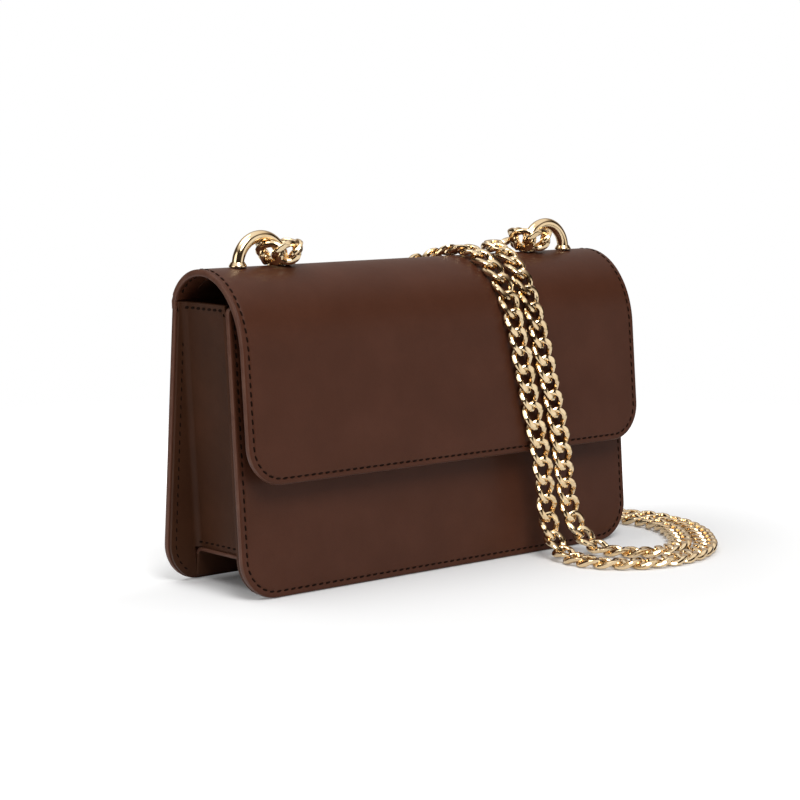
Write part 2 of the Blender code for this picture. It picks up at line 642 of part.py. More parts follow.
def make_arches():
    """Make both arches with their collars, washers and screws."""
    for side, word in ((-1, "left"), (1, "right")):
        curve = bpy.data.curves.new(f"arch_{word}", "CURVE")
        curve.dimensions = "3D"
        curve.bevel_depth = ARCH_WIRE_RADIUS
        curve.bevel_resolution = ARCH_SIDES_RESOLUTION
        curve.use_fill_caps = True
        spline = curve.splines.new("POLY")
        path = [(ARCH_RADIUS, 0)]
        for step in range(ARCH_STEPS + 1):
            angle = math.pi * step / ARCH_STEPS
            path.append((ARCH_RADIUS * math.cos(angle), ARCH_LEG + ARCH_RADIUS * math.sin(angle)))
        path.append((-ARCH_RADIUS, 0))
        spline.points.add(len(path) - 1)
        for slot, (across, height) in zip(spline.points, path):
            slot.co = (across, 0, height, 1)
        arch = add_object(f"arch_{word}", curve)
        arch.location = (side * ARCH_X, ARCH_Y, ARCH_SEAT_Z)
        arch = to_mesh(arch, GOLD)
        for leg, place in ((-1, "outer" if side < 0 else "inner"), (1, "inner" if side < 0 else "outer")):
            where = (side * ARCH_X + leg * ARCH_RADIUS, ARCH_Y, 0)
            bore = turned(f"arch_bore_{word}_{place}", disc_profile(
                SCREW_RADIUS + SEAT_GAP, ARCH_SEAT_Z + SCREW_BORE_DEPTH, ARCH_SEAT_Z - CUT_OVERRUN))
            bore.location = where
            boolean(arch, bore)
            ring_in = ARCH_WIRE_RADIUS + SEAT_GAP
            top = ARCH_SEAT_Z + COLLAR_HEIGHT
            collar = turned(f"collar_{word}_{place}", [
                (ring_in, top), (COLLAR_RADIUS - COLLAR_EDGE, top), (COLLAR_RADIUS, top - COLLAR_EDGE),
                (COLLAR_RADIUS, ARCH_SEAT_Z), (ring_in, ARCH_SEAT_Z)], GOLD)
            collar.location = where
            washer_top = FLAP_CROWN_Z - FLAP_LINING_THICK - SEAT_GAP - WASHER_DROP
            washer = turned(f"washer_{word}_{place}", [
                (SCREW_RADIUS + SEAT_GAP, washer_top), (WASHER_RADIUS, washer_top),
                (WASHER_RADIUS, washer_top - WASHER_THICK),
                (SCREW_RADIUS + SEAT_GAP, washer_top - WASHER_THICK)], STEEL)
            washer.location = where
            head_top = washer_top - WASHER_THICK - SEAT_GAP
            tip = ARCH_SEAT_Z + SCREW_BORE_DEPTH - SCREW_TIP_GAP
            screw = turned(f"screw_{word}_{place}", [
                (0, tip), (SCREW_RADIUS, tip), (SCREW_RADIUS, head_top), (SCREW_HEAD_RADIUS, head_top),
                (SCREW_HEAD_RADIUS, head_top - SCREW_HEAD_HEIGHT / 2),
                (SCREW_RADIUS, head_top - SCREW_HEAD_HEIGHT), (0, head_top - SCREW_HEAD_HEIGHT)], STEEL)
            screw.location = where


def smooth_route(rows, share_steps=24):
    """Dense points of a smooth curve through a route's rows, with their tilts."""
    dense = []
    last = len(rows) - 1
    for index in range(last):
        quad = [Vector(rows[min(max(index + shift, 0), last)]) for shift in (-1, 0, 1, 2)]
        for step in range(share_steps):
            t = step / share_steps
            dense.append((2 * quad[1] + (quad[2] - quad[0]) * t
                          + (2 * quad[0] - 5 * quad[1] + 4 * quad[2] - quad[3]) * t ** 2
                          + (3 * quad[1] - quad[0] - 3 * quad[2] + quad[3]) * t ** 3) / 2)
    dense.append(Vector(rows[-1]))
    return dense


def equal_steps(dense, pitch):
    """Cut a dense curve into the whole number of equal steps nearest to the pitch."""
    lengths = [0]
    for before, after in zip(dense, dense[1:]):
        lengths.append(lengths[-1] + (after.xyz - before.xyz).length)
    count = max(1, round(lengths[-1] / pitch))
    joints = []
    index = 0
    for number in range(count + 1):
        goal = lengths[-1] * number / count
        while index < len(lengths) - 2 and lengths[index + 1] < goal:
            index += 1
        part = (goal - lengths[index]) / (lengths[index + 1] - lengths[index])
        joints.append(dense[index].lerp(dense[index + 1], min(max(part, 0), 1)))
    return joints


def tilted_up(tilt):
    """Direction of a link's flat side for a tilt in degrees."""
    return Vector((0, -math.sin(math.radians(tilt)), math.cos(math.radians(tilt))))


def add_link(shape, start, end, up):
    """Add one curb link between two joints and return its two inner end faces.

    Its wire follows (a cos t, b sin t, -c sin 2t), an oval with a twist, so that
    each link crosses over one side of the next and under the other. The filed
    wire has a square section.
    """
    along = (end - start).normalized()
    across = up.cross(along).normalized()
    up = along.cross(across)
    centre = (start + end) / 2
    stretch = math.cos(math.pi / LINK_POINTS)
    half_length = (LINK_LENGTH / 2 - LINK_HALF_WIRE) / stretch
    half_width = (LINK_WIDTH / 2 - LINK_HALF_WIRE) / stretch
    rings = []
    for point in range(LINK_POINTS):
        t = math.pi * (2 * point + 1) / LINK_POINTS
        middle = Vector((half_length * math.cos(t), half_width * math.sin(t), -LINK_TWIST * math.sin(2 * t)))
        forward = Vector((-half_length * math.sin(t), half_width * math.cos(t),
                          -2 * LINK_TWIST * math.cos(2 * t))).normalized()
        outward = Vector((half_width * math.cos(t), half_length * math.sin(t), 0))
        outward = (outward - forward * outward.dot(forward)).normalized()
        lift = forward.cross(outward)
        ring = []
        for out_sign, lift_sign in ((1, 1), (-1, 1), (-1, -1), (1, -1)):
            local = middle + (outward * out_sign + lift * lift_sign) * LINK_HALF_WIRE
            ring.append(shape.verts.new(centre + along * local.x + across * local.y + up * local.z))
        rings.append(ring)
    inner = []
    for point in range(LINK_POINTS):
        here, there = rings[point], rings[(point + 1) % LINK_POINTS]
        for side in range(4):
            beside = (side + 1) % 4
            face = shape.faces.new((here[side], here[beside], there[beside], there[side]))
            if side == 1:
                inner.append(face)
    return inner[LINK_POINTS // 2 - 1], inner[-1]


def join_links(shape, first, second):
    """Join two links where they touch: a short neck between two facing faces."""
    near = list(first.verts)
    far = list(reversed(second.verts))
    turns = [far[shift:] + far[:shift] for shift in range(4)]
    far = min(turns, key=lambda ring: sum((a.co - b.co).length for a, b in zip(near, ring)))
    shape.faces.remove(first)
    shape.faces.remove(second)
    for side in range(4):
        beside = (side + 1) % 4
        shape.faces.new((near[side], near[beside], far[beside], far[side]))


def chain(name, rows):
    """Make a run of curb chain along a route as one body of joined links."""
    joints = equal_steps(smooth_route(rows), LINK_PITCH)
    pairs = zip(joints, joints[1:])
    places = [(start.xyz, end.xyz, tilted_up((start.w + end.w) / 2)) for start, end in pairs]
    shape = bmesh.new()
    ends = [add_link(shape, *place) for place in places]
    for (_, before), (after, _) in zip(ends, ends[1:]):
        join_links(shape, before, after)
    return add_object(name, mesh_of(name, shape), GOLD)


def chain_ring(name, side):
    """Make the closed ring of links round an arch's inner leg, low inside the arch."""
    radius = RING_PITCH / (2 * math.sin(math.pi / RING_LINKS))
    leg = Vector((side * (ARCH_X - ARCH_RADIUS + RING_OFFSET), ARCH_Y, RING_Z))
    joints = []
    for number in range(RING_LINKS + 1):
        angle = 2 * math.pi * number / RING_LINKS + RING_TURN
        joints.append(leg + Vector((side * radius * math.cos(angle), side * radius * math.sin(angle),
                                    -RING_RISE * math.cos(angle))))
    shapes = [bmesh.new(), bmesh.new()]
    for number, (start, end) in enumerate(zip(joints, joints[1:])):
        outward = ((start + end) / 2 - leg).normalized()
        up = outward * math.cos(RING_LEAN) + Vector((0, 0, math.sin(RING_LEAN)))
        add_link(shapes[number % 2], start, end, up)
    ring = add_object(name, mesh_of(name, shapes[0]), GOLD)
    boolean(ring, add_object(f"{name}_even_links", mesh_of(f"{name}_even_links", shapes[1])), "UNION")


def mesh_of(name, shape):
    """Turn a bmesh into a mesh and free it."""
    mesh = bpy.data.meshes.new(name)
    shape.to_mesh(mesh)
    shape.free()
    return mesh


def centre_and_hinge():
    """Centre the bag over the origin and hang the flap's pieces on its hinge."""
    flap_front = flap_inner_y(FLAP_FOOT_Z) - FLAP_THICK * math.cos(FLAP_LEAN)
    shift = -(HALF_DEPTH + flap_front) / 2
    for item in bpy.data.objects:
        item.location.y += shift
    pivot = bpy.data.objects.new("flap_pivot", None)
    PARTS.objects.link(pivot)
    pivot.location = (0, back_outer_y(HINGE_Z) + shift, HINGE_Z)
    bpy.context.view_layer.update()
    for item in PARTS.objects:
        if item != pivot and item.name.startswith(FLAP_PIECES):
            item.parent = pivot
            item.matrix_parent_inverse = pivot.matrix_world.inverted()


FLOOR_CUTTER = box("floor_cutter", (-BODY_WIDTH, -BASE_DEPTH, -BASE_DEPTH), (BODY_WIDTH, BASE_DEPTH, 0))
GUSSET_OUTLINE = flap_outline_cutter("gusset_outline", HALF_WIDTH - GUSSET_EDGE_INSET, GUSSET_FLANGE_FOOT,
                                     PANEL_CORNER - GUSSET_EDGE_INSET, FRONT_HEIGHT + CUT_OVERRUN)
GUSSET_FOOT_REACH = HALF_WIDTH - GUSSET_FOOT_RECESS
GUSSET_FOOT_CUTTER = box("gusset_foot_cutter", (-GUSSET_FOOT_REACH, -BASE_DEPTH, -CUT_OVERRUN),
                         (GUSSET_FOOT_REACH, BASE_DEPTH, BASE_UNDERSIDE))

front = panel("front_panel", True, FRONT_HEIGHT)
panel("back_panel", False, HINGE_Z)
make_gusset("gusset_left", -1)
make_gusset("gusset_right", 1)
make_base()
make_linings()
make_flap()
make_snap(front)
make_arches()
chain_ring("chain_left_ring", -1)
chain_ring("chain_right_ring", 1)
chain("chain_left_run", LEFT_RUN)
chain("chain_right_run", RIGHT_RUN)
chain("chain_left_drape", LEFT_DRAPE)
chain("chain_right_drape", RIGHT_DRAPE)
chain("chain_left_fall", LEFT_FALL)
chain("chain_right_fall", RIGHT_FALL)
chain("chain_fold", FOLD)
centre_and_hinge()
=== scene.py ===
"""Small structured leather flap bag with a curb chain strap folded double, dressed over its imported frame."""

from __future__ import annotations

import logging
import math
from dataclasses import dataclass, field
from enum import Enum
from typing import Protocol, Sequence

import bpy
import numpy as np
from mathutils import Matrix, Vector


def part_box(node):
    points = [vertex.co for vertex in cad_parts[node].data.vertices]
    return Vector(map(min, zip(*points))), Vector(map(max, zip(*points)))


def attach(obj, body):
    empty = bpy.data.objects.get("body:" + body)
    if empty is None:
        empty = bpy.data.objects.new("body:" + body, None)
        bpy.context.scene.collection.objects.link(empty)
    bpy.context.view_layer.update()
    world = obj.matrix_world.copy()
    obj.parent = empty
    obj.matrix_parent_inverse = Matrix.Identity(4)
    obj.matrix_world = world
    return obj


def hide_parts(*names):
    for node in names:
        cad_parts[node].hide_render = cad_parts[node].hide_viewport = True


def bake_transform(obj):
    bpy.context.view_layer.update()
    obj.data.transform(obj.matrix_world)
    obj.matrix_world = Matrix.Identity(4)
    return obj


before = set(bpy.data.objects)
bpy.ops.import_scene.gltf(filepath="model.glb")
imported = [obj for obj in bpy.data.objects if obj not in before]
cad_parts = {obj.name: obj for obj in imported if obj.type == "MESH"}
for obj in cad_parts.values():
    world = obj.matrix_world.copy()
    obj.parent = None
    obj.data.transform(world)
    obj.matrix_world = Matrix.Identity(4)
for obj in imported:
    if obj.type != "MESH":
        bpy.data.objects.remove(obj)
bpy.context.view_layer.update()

LOG = logging.getLogger("flap_bag")
MM = 0.001
# A Wave Texture of scale s has a band each WAVE_PERIOD / s
WAVE_PERIOD = 0.314
# Smallest corner and row step of a sheet's grid, the step out that finds its normal, and where its
# close rows and columns lie inside its edge
LEAST_RADIUS = 0.05 * MM
LEAST_STEP = 0.02 * MM
NORMAL_STEP = 0.1 * MM
SEAM_ROWS = np.array([0, 0.3, 0.7, 1.2, 1.8, 2.2, 2.6, 3.0, 3.5, 4.5]) * MM
SEAM_COLUMNS = np.array([0, 0.3, 0.8, 1.3, 1.7, 2.1, 2.5, 3.0, 4.2]) * MM
# Which strips round a sheet's edge are painted, and how full its curve is
BEAD_PAINT = (0, 0, 1, 1, 1, 1, 0, 0)
BEAD_POWER = 0.7
# Depth of the back panel's foot before the solids are centred, and how far centring moves them
BACK_FOOT_Y = 28.4 * MM
SHIFT = float(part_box("back_panel")[1][1]) - BACK_FOOT_Y


class Body(Enum):
    """The two bodies that pieces ride on."""

    BAG = "bag"
    FLAP = "flap"


class Slot(Enum):
    """The record's material slots."""

    LEATHER = "smooth_calf_leather"
    GUSSET = "gusset_calf_leather"
    LINING = "woven_lining"
    BOARD = "fibre_board"
    GOLD = "polished_gold_plate"
    STEEL = "nickel_plated_steel"


# Finishes


def linear(hexadecimal: str) -> tuple[float, float, float, float]:
    """Turn an sRGB hex value into linear colour.

    Args:
        hexadecimal: six digits after a number sign.

    Returns:
        Red, green, blue and alpha.
    """
    parts = [int(hexadecimal[place:place + 2], 16) / 255 for place in (1, 3, 5)]
    red, green, blue = (v / 12.92 if v <= 0.04045 else ((v + 0.055) / 1.055) ** 2.4 for v in parts)
    return red, green, blue, 1.0


Source = bpy.types.Node | bpy.types.NodeSocket


class Nodes:
    """A node tree, filled one node at a time."""

    def __init__(self, tree: bpy.types.NodeTree) -> None:
        """Keep the tree."""
        self.tree = tree

    def link(self, source: Source, target: bpy.types.NodeSocket) -> None:
        """Feed an input from a socket, or from a node's first output."""
        self.tree.links.new(source.outputs[0] if isinstance(source, bpy.types.Node) else source, target)

    def add(self, kind: str, links: dict[str | int, Source] | None = None,
            values: dict[str | int, float | Sequence[float]] | None = None,
            stops: Sequence[tuple[float, str]] = (), **settings: object) -> bpy.types.Node:
        """Add a node.

        Args:
            kind: Blender's name of the node's type.
            links: input name or index to the socket or node that feeds it.
            values: input name or index to its constant value.
            stops: places and hex colours of a colour ramp, in order.
            settings: properties of the node itself.

        Returns:
            The new node.
        """
        made = self.tree.nodes.new(kind)
        for key, value in settings.items():
            setattr(made, key, value)
        for key, value in (values or {}).items():
            made.inputs[key].default_value = value
        for key, source in (links or {}).items():
            self.link(source, made.inputs[key])
        for place, (position, colour) in enumerate(stops):
            if place == len(made.color_ramp.elements):
                made.color_ramp.elements.new(position)
            made.color_ramp.elements[place].position = position
            made.color_ramp.elements[place].color = linear(colour)
        return made


class Shader(Nodes):
    """A material's node tree, with its surface shader and Object coordinates at hand."""

    def __init__(self, name: str) -> None:
        """Start a material with its output and surface shader."""
        self.material = bpy.data.materials.new(name)
        self.material.use_nodes = True
        super().__init__(self.material.node_tree)
        self.surface = self.tree.nodes["Principled BSDF"]
        self.place = self.add("ShaderNodeTexCoord").outputs["Object"]

    def feed(self, name: str, source: Source) -> None:
        """Feed an input of the surface shader."""
        self.link(source, self.surface.inputs[name])

    def fix(self, **values: float | Sequence[float]) -> None:
        """Set constants on the surface shader, underscores standing for spaces."""
        for key, value in values.items():
            self.surface.inputs[key.replace("_", " ")].default_value = value


@dataclass(frozen=True)
class CalfLeather:
    """Drum-dyed calf leather, finished and lightly polished: fine pores and a soft wide gloss."""

    name: str
    low: str
    middle: str
    high: str
    roughness: float = 0.38
    specular: float = 0.15
    cloud: float = 26 * MM
    swell: float = 14 * MM
    rub: float = 9 * MM
    grain: float = 0.9 * MM
    pore: float = 0.6 * MM
    swell_height: float = 0.16 * MM
    grain_height: float = 0.03 * MM

    def build(self) -> bpy.types.Material:
        """Mottle the dye, open the pores, raise the grain and vary the polish."""
        shader = Shader(self.name)
        cloud = shader.add("ShaderNodeTexNoise", {"Vector": shader.place},
                           {"Scale": 1 / self.cloud, "Detail": 5.0, "Roughness": 0.6})
        dye = shader.add("ShaderNodeValToRGB", {"Fac": cloud},
                         stops=((0.3, self.low), (0.52, self.middle), (0.75, self.high)))
        pores = shader.add("ShaderNodeTexVoronoi", {"Vector": shader.place},
                           {"Scale": 1 / self.pore, "Randomness": 1.0}, feature="DISTANCE_TO_EDGE")
        # The dye gathers in the creases between the grain's cells, which reads as fine grain from near
        crease = shader.add("ShaderNodeMapRange", {"Value": pores},
                            {"From Min": 0.0, "From Max": 0.12, "To Min": 0.86, "To Max": 1.0})
        depth = shader.add("ShaderNodeMixRGB", {1: dye, 2: crease}, {0: 1.0}, blend_type="MULTIPLY")
        shader.feed("Base Color", depth)
        rubbed = shader.add("ShaderNodeTexNoise", {"Vector": shader.place},
                            {"Scale": 1 / self.rub, "Detail": 3.0})
        polish = shader.add("ShaderNodeMapRange", {"Value": rubbed},
                            {"To Min": self.roughness - 0.05, "To Max": self.roughness + 0.07})
        shader.feed("Roughness", polish)
        # The hide's slow swell bends the wide highlights a little
        swell = shader.add("ShaderNodeTexNoise", {"Vector": shader.place},
                           {"Scale": 1 / self.swell, "Detail": 2.0})
        broad = shader.add("ShaderNodeBump", {"Height": swell}, {"Distance": self.swell_height})
        grain = shader.add("ShaderNodeTexNoise", {"Vector": shader.place},
                           {"Scale": 1 / self.grain, "Detail": 4.0, "Roughness": 0.6})
        fine = shader.add("ShaderNodeBump", {"Height": grain, "Normal": broad},
                          {"Distance": self.grain_height})
        cells = shader.add("ShaderNodeBump", {"Height": pores, "Normal": fine},
                           {"Distance": self.grain_height})
        shader.feed("Normal", cells)
        shader.fix(Specular_IOR_Level=self.specular)
        return shader.material


@dataclass(frozen=True)
class EdgePaint:
    """Leather edge, sanded and painted: a rounded satin bead, a little paler than the hide."""

    name: str = "painted_leather_edge"
    dark: str = "#523429"
    pale: str = "#5F4033"
    patch: float = 5 * MM
    stroke: float = 1.6 * MM
    relief: float = 0.05 * MM

    def build(self) -> bpy.types.Material:
        """Stroke the paint along the edge with faint unevenness."""
        shader = Shader(self.name)
        patches = shader.add("ShaderNodeTexNoise", {"Vector": shader.place},
                             {"Scale": 1 / self.patch, "Detail": 3.0})
        paint = shader.add("ShaderNodeValToRGB", {"Fac": patches}, stops=((0.3, self.dark), (0.7, self.pale)))
        shader.feed("Base Color", paint)
        # Brush strokes catch the light as faint ripples
        strokes = shader.add("ShaderNodeTexNoise", {"Vector": shader.place},
                             {"Scale": 1 / self.stroke, "Detail": 3.0})
        ripple = shader.add("ShaderNodeBump", {"Height": strokes}, {"Distance": self.relief})
        shader.feed("Normal", ripple)
        shader.fix(Roughness=0.42, Specular_IOR_Level=0.2)
        return shader.material


@dataclass(frozen=True)
class WaxedThread:
    """Bonded polyester thread, waxed: nearly black in its holes, with the slanted ridges of its twist."""

    name: str = "waxed_thread"
    dark: str = "#160B06"
    pale: str = "#21120A"
    patch: float = 1.2 * MM
    ridge: float = 0.28 * MM
    relief: float = 0.05 * MM

    def build(self) -> bpy.types.Material:
        """Darken the thread unevenly and twist its strands."""
        shader = Shader(self.name)
        wax = shader.add("ShaderNodeTexNoise", {"Vector": shader.place},
                         {"Scale": 1 / self.patch, "Detail": 2.0})
        shade = shader.add("ShaderNodeValToRGB", {"Fac": wax}, stops=((0.3, self.dark), (0.7, self.pale)))
        shader.feed("Base Color", shade)
        turned = shader.add("ShaderNodeMapping", {"Vector": shader.place}, {"Rotation": (0.6, 0.5, 0.7)})
        twist = shader.add("ShaderNodeTexWave", {"Vector": turned},
                           {"Scale": WAVE_PERIOD / self.ridge, "Distortion": 0.6})
        ridges = shader.add("ShaderNodeBump", {"Height": twist.outputs["Fac"]}, {"Distance": self.relief})
        shader.feed("Normal", ridges)
        shader.fix(Roughness=0.75, Specular_IOR_Level=0.05)
        return shader.material


@dataclass(frozen=True)
class PlatedMetal:
    """Cast or drawn metal, polished and electroplated: clear reflections, hair-fine wear."""

    name: str
    colour: str
    worn: str
    roughness: float
    wear: float = 0.05
    patch: float = 6 * MM
    rub: float = 1.8 * MM
    wheel: float = 0.9 * MM
    wave_height: float = 0.006 * MM

    def build(self) -> bpy.types.Material:
        """Tint the plate and vary its polish in small patches."""
        shader = Shader(self.name)
        patches = shader.add("ShaderNodeTexNoise", {"Vector": shader.place},
                             {"Scale": 1 / self.patch, "Detail": 4.0, "Roughness": 0.6})
        plate = shader.add("ShaderNodeValToRGB", {"Fac": patches},
                           stops=((0.25, self.worn), (0.6, self.colour)))
        shader.feed("Base Color", plate)
        rubbed = shader.add("ShaderNodeTexNoise", {"Vector": shader.place},
                            {"Scale": 1 / self.rub, "Detail": 4.0, "Roughness": 0.65})
        polish = shader.add("ShaderNodeMapRange", {"Value": rubbed},
                            {"To Min": self.roughness - self.wear, "To Max": self.roughness + self.wear})
        shader.feed("Roughness", polish)
        # The polishing wheel's faint waves break up the reflections' edges
        wheel = shader.add("ShaderNodeTexNoise", {"Vector": shader.place},
                           {"Scale": 1 / self.wheel, "Detail": 2.0})
        waves = shader.add("ShaderNodeBump", {"Height": wheel}, {"Distance": self.wave_height})
        shader.feed("Normal", waves)
        shader.fix(Metallic=1.0)
        return shader.material


@dataclass(frozen=True)
class LiningCloth:
    """Plain-woven microfibre lining: matt, with its warp and weft just to be seen."""

    name: str = "woven_microfibre_lining"
    dark: str = "#2B1C15"
    pale: str = "#3A271E"
    cloud: float = 18 * MM
    thread: float = 0.45 * MM
    relief: float = 0.05 * MM

    def build(self) -> bpy.types.Material:
        """Cross two sets of threads and dust them with nap."""
        shader = Shader(self.name)
        cloud = shader.add("ShaderNodeTexNoise", {"Vector": shader.place},
                           {"Scale": 1 / self.cloud, "Detail": 4.0})
        cloth = shader.add("ShaderNodeValToRGB", {"Fac": cloud}, stops=((0.3, self.dark), (0.7, self.pale)))
        shader.feed("Base Color", cloth)
        bands = {"Scale": WAVE_PERIOD / self.thread, "Distortion": 0.4}
        warp = shader.add("ShaderNodeTexWave", {"Vector": shader.place}, bands)
        upright = shader.add("ShaderNodeBump", {"Height": warp.outputs["Fac"]}, {"Distance": self.relief})
        weft = shader.add("ShaderNodeTexWave", {"Vector": shader.place}, bands, bands_direction="Z")
        level = shader.add("ShaderNodeBump", {"Height": weft.outputs["Fac"], "Normal": upright},
                           {"Distance": self.relief})
        shader.feed("Normal", level)
        shader.fix(Roughness=0.85, Specular_IOR_Level=0.15, Sheen_Weight=0.08,
                   Sheen_Tint=(0.5, 0.36, 0.28, 1))
        return shader.material


@dataclass(frozen=True)
class FibreBoard:
    """Pressed leather fibre board: matt tan with fibre flecks."""

    name: str = "pressed_fibre_board"
    dark: str = "#5C432D"
    pale: str = "#8A6A4A"
    fibre: float = 1.5 * MM
    relief: float = 0.08 * MM

    def build(self) -> bpy.types.Material:
        """Fleck the board with short fibres."""
        shader = Shader(self.name)
        fibres = shader.add("ShaderNodeTexNoise", {"Vector": shader.place},
                            {"Scale": 1 / self.fibre, "Detail": 6.0, "Roughness": 0.7})
        flecks = shader.add("ShaderNodeValToRGB", {"Fac": fibres}, stops=((0.3, self.dark), (0.7, self.pale)))
        shader.feed("Base Color", flecks)
        rough = shader.add("ShaderNodeBump", {"Height": fibres}, {"Distance": self.relief})
        shader.feed("Normal", rough)
        shader.fix(Roughness=0.9)
        return shader.material


class Finishes:
    """Every finish of the bag, made once."""

    def __init__(self) -> None:
        """Build the materials."""
        self.leather = CalfLeather("polished_calf_leather", "#452517", "#49281A", "#4E2C1E").build()
        # The gussets, base and flap lining take the panels' hide in thinner leather; its darker dye is painted
        # shade of these sides and insides
        self.gusset = CalfLeather("thin_calf_leather_painted_shade", "#3B2216", "#402618", "#46291B", 0.44, 0.12).build()
        self.edge = EdgePaint().build()
        self.thread = WaxedThread().build()
        self.gold = PlatedMetal("polished_gold_plate", "#EFD6AE", "#E0C090", 0.11).build()
        self.steel = PlatedMetal("satin_nickel_plate", "#C9C5BC", "#B5B0A6", 0.28).build()
        self.lining = LiningCloth().build()
        self.board = FibreBoard().build()


# Lines and meshes as whole arrays


def unit(vectors: np.ndarray) -> np.ndarray:
    """Bring vectors to length one."""
    return vectors / np.linalg.norm(vectors, axis=-1, keepdims=True)


def run_of(line: np.ndarray) -> np.ndarray:
    """Distance of each point of a line from its start."""
    return np.concatenate([[0], np.cumsum(np.linalg.norm(np.diff(line, axis=0), axis=1))])


def sampled(line: np.ndarray, run: np.ndarray, places: np.ndarray) -> np.ndarray:
    """Values of a line's columns at distances between those of its rows."""
    return np.stack([np.interp(places, run, column) for column in line.T], axis=-1)


def grid_faces(rows: int, columns: int, close_rows: bool = False, close_columns: bool = False) -> np.ndarray:
    """Number the quads of a grid of vertices laid row by row.

    Args:
        rows: number of rows.
        columns: number of vertices in a row.
        close_rows: join the last row to the first.
        close_columns: join each row's end to its start.

    Returns:
        An array of four indices a face.
    """
    row = np.arange(rows if close_rows else rows - 1)[:, None]
    column = np.arange(columns if close_columns else columns - 1)[None, :]
    below, beside = (row + 1) % rows, (column + 1) % columns
    corners = (row * columns + column, row * columns + beside,
               below * columns + beside, below * columns + column)
    return np.stack([np.broadcast_to(corner, np.broadcast_shapes(row.shape, column.shape)).ravel()
                     for corner in corners], axis=1)


def fan(start: int, count: int, pole: int, onward: bool) -> np.ndarray:
    """Close a ring of vertices with triangles to one pole.

    Args:
        start: index of the ring's first vertex.
        count: vertices in the ring.
        pole: index of the pole.
        onward: whether the triangles follow the ring's order.

    Returns:
        An array of three indices a face.
    """
    here, beside = start + np.arange(count), start + (np.arange(count) + 1) % count
    pair = (here, beside) if onward else (beside, here)
    return np.stack([*pair, np.full(count, pole)], axis=1)


@dataclass
class Surface:
    """Vertices, their quads and triangles, and where it has two materials the number of each quad's."""

    points: np.ndarray
    quads: np.ndarray
    triangles: np.ndarray = field(default_factory=lambda: np.zeros((0, 3), int))
    finish: np.ndarray | None = None

    @staticmethod
    def joined(parts: Sequence["Surface"]) -> "Surface":
        """Put several surfaces of one material into one, their vertices renumbered."""
        starts = np.cumsum([0] + [len(part.points) for part in parts[:-1]])
        return Surface(np.concatenate([part.points for part in parts]),
                       np.concatenate([part.quads + start for part, start in zip(parts, starts)]),
                       np.concatenate([part.triangles + start for part, start in zip(parts, starts)]))

    def repeated(self, centres: np.ndarray, axes: Sequence[np.ndarray]) -> "Surface":
        """Copy a small shape to many places.

        A point is its place's centre plus each of its coordinates times that place's axis.

        Args:
            centres: a row for each copy.
            axes: the directions of the shape's three coordinates, each a row for each copy.

        Returns:
            All the copies in one surface.
        """
        points = centres[:, None]
        for part, axis in enumerate(axes):
            points = points + self.points[None, :, part:part + 1] * axis[:, None]
        shift = (np.arange(len(centres)) * len(self.points))[:, None, None]
        return Surface(points.reshape(-1, 3), (self.quads + shift).reshape(-1, 4),
                       (self.triangles + shift).reshape(-1, 3))

    def outwards(self) -> "Surface":
        """Turn a closed surface's faces to the outside where its signed volume is negative."""
        a, b, c, d = (self.points[self.quads[:, place]] for place in range(4))
        volume = np.einsum("ij,ij->", a, np.cross(b, c)) + np.einsum("ij,ij->", a, np.cross(c, d))
        if volume < 0:
            self.quads, self.triangles = self.quads[:, ::-1], self.triangles[:, ::-1]
        return self


@dataclass
class Piece:
    """A named surface that becomes an object riding on a body."""

    name: str
    surface: Surface
    materials: Sequence[bpy.types.Material]
    body: Body
    slot: Slot
    stands_for: Sequence[str] = ()
    crease: float = math.radians(40)
    bend: tuple[tuple[float, float, float], tuple[float, float, float]] | None = None

    def make(self) -> bpy.types.Object:
        """Fill the mesh in one go and parent it to its body, unless it is given a bend.

        Returns:
            The finished object, at the origin.
        """
        shape = self.surface
        mesh = bpy.data.meshes.new(self.name)
        loops = np.concatenate([shape.quads.ravel(), shape.triangles.ravel()])
        sizes = np.concatenate([np.full(len(shape.quads), 4), np.full(len(shape.triangles), 3)])
        mesh.vertices.add(len(shape.points))
        mesh.vertices.foreach_set("co", shape.points.astype(np.float32).ravel())
        mesh.loops.add(len(loops))
        mesh.loops.foreach_set("vertex_index", loops.astype(np.int32))
        mesh.polygons.add(len(sizes))
        mesh.polygons.foreach_set("loop_start", np.concatenate([[0], np.cumsum(sizes)[:-1]]).astype(np.int32))
        if shape.finish is not None:
            mesh.polygons.foreach_set("material_index", shape.finish.astype(np.int32))
        mesh.polygons.foreach_set("use_smooth", np.ones(len(sizes), bool))
        mesh.update(calc_edges=True)
        mesh.validate()
        for material in self.materials:
            mesh.materials.append(material)
        mesh.set_sharp_from_angle(angle=self.crease)
        made = bpy.data.objects.new(self.name, mesh)
        bpy.context.scene.collection.objects.link(made)
        if self.bend:
            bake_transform(made)
        else:
            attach(made, self.body.value)
        if self.stands_for:
            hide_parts(*self.stands_for)
        LOG.info("%s: %d faces on %s", self.name, len(sizes), self.body.value)
        return made


# How flat leather is bent into place


class Wrap(Protocol):
    """A rule that carries flat leather into place."""

    def __call__(self, across: np.ndarray, down: np.ndarray, out: np.ndarray) -> np.ndarray:
        """Place points given across the width, down the length and out from the middle surface."""


@dataclass(frozen=True)
class FlatWrap:
    """A plane: origin plus each coordinate times its direction."""

    origin: tuple[float, float, float]
    across: tuple[float, float, float]
    down: tuple[float, float, float]
    out: tuple[float, float, float]

    def __call__(self, across: np.ndarray, down: np.ndarray, out: np.ndarray) -> np.ndarray:
        """Place points on the plane."""
        return (np.array(self.origin) + across[..., None] * np.array(self.across)
                + down[..., None] * np.array(self.down) + out[..., None] * np.array(self.out))


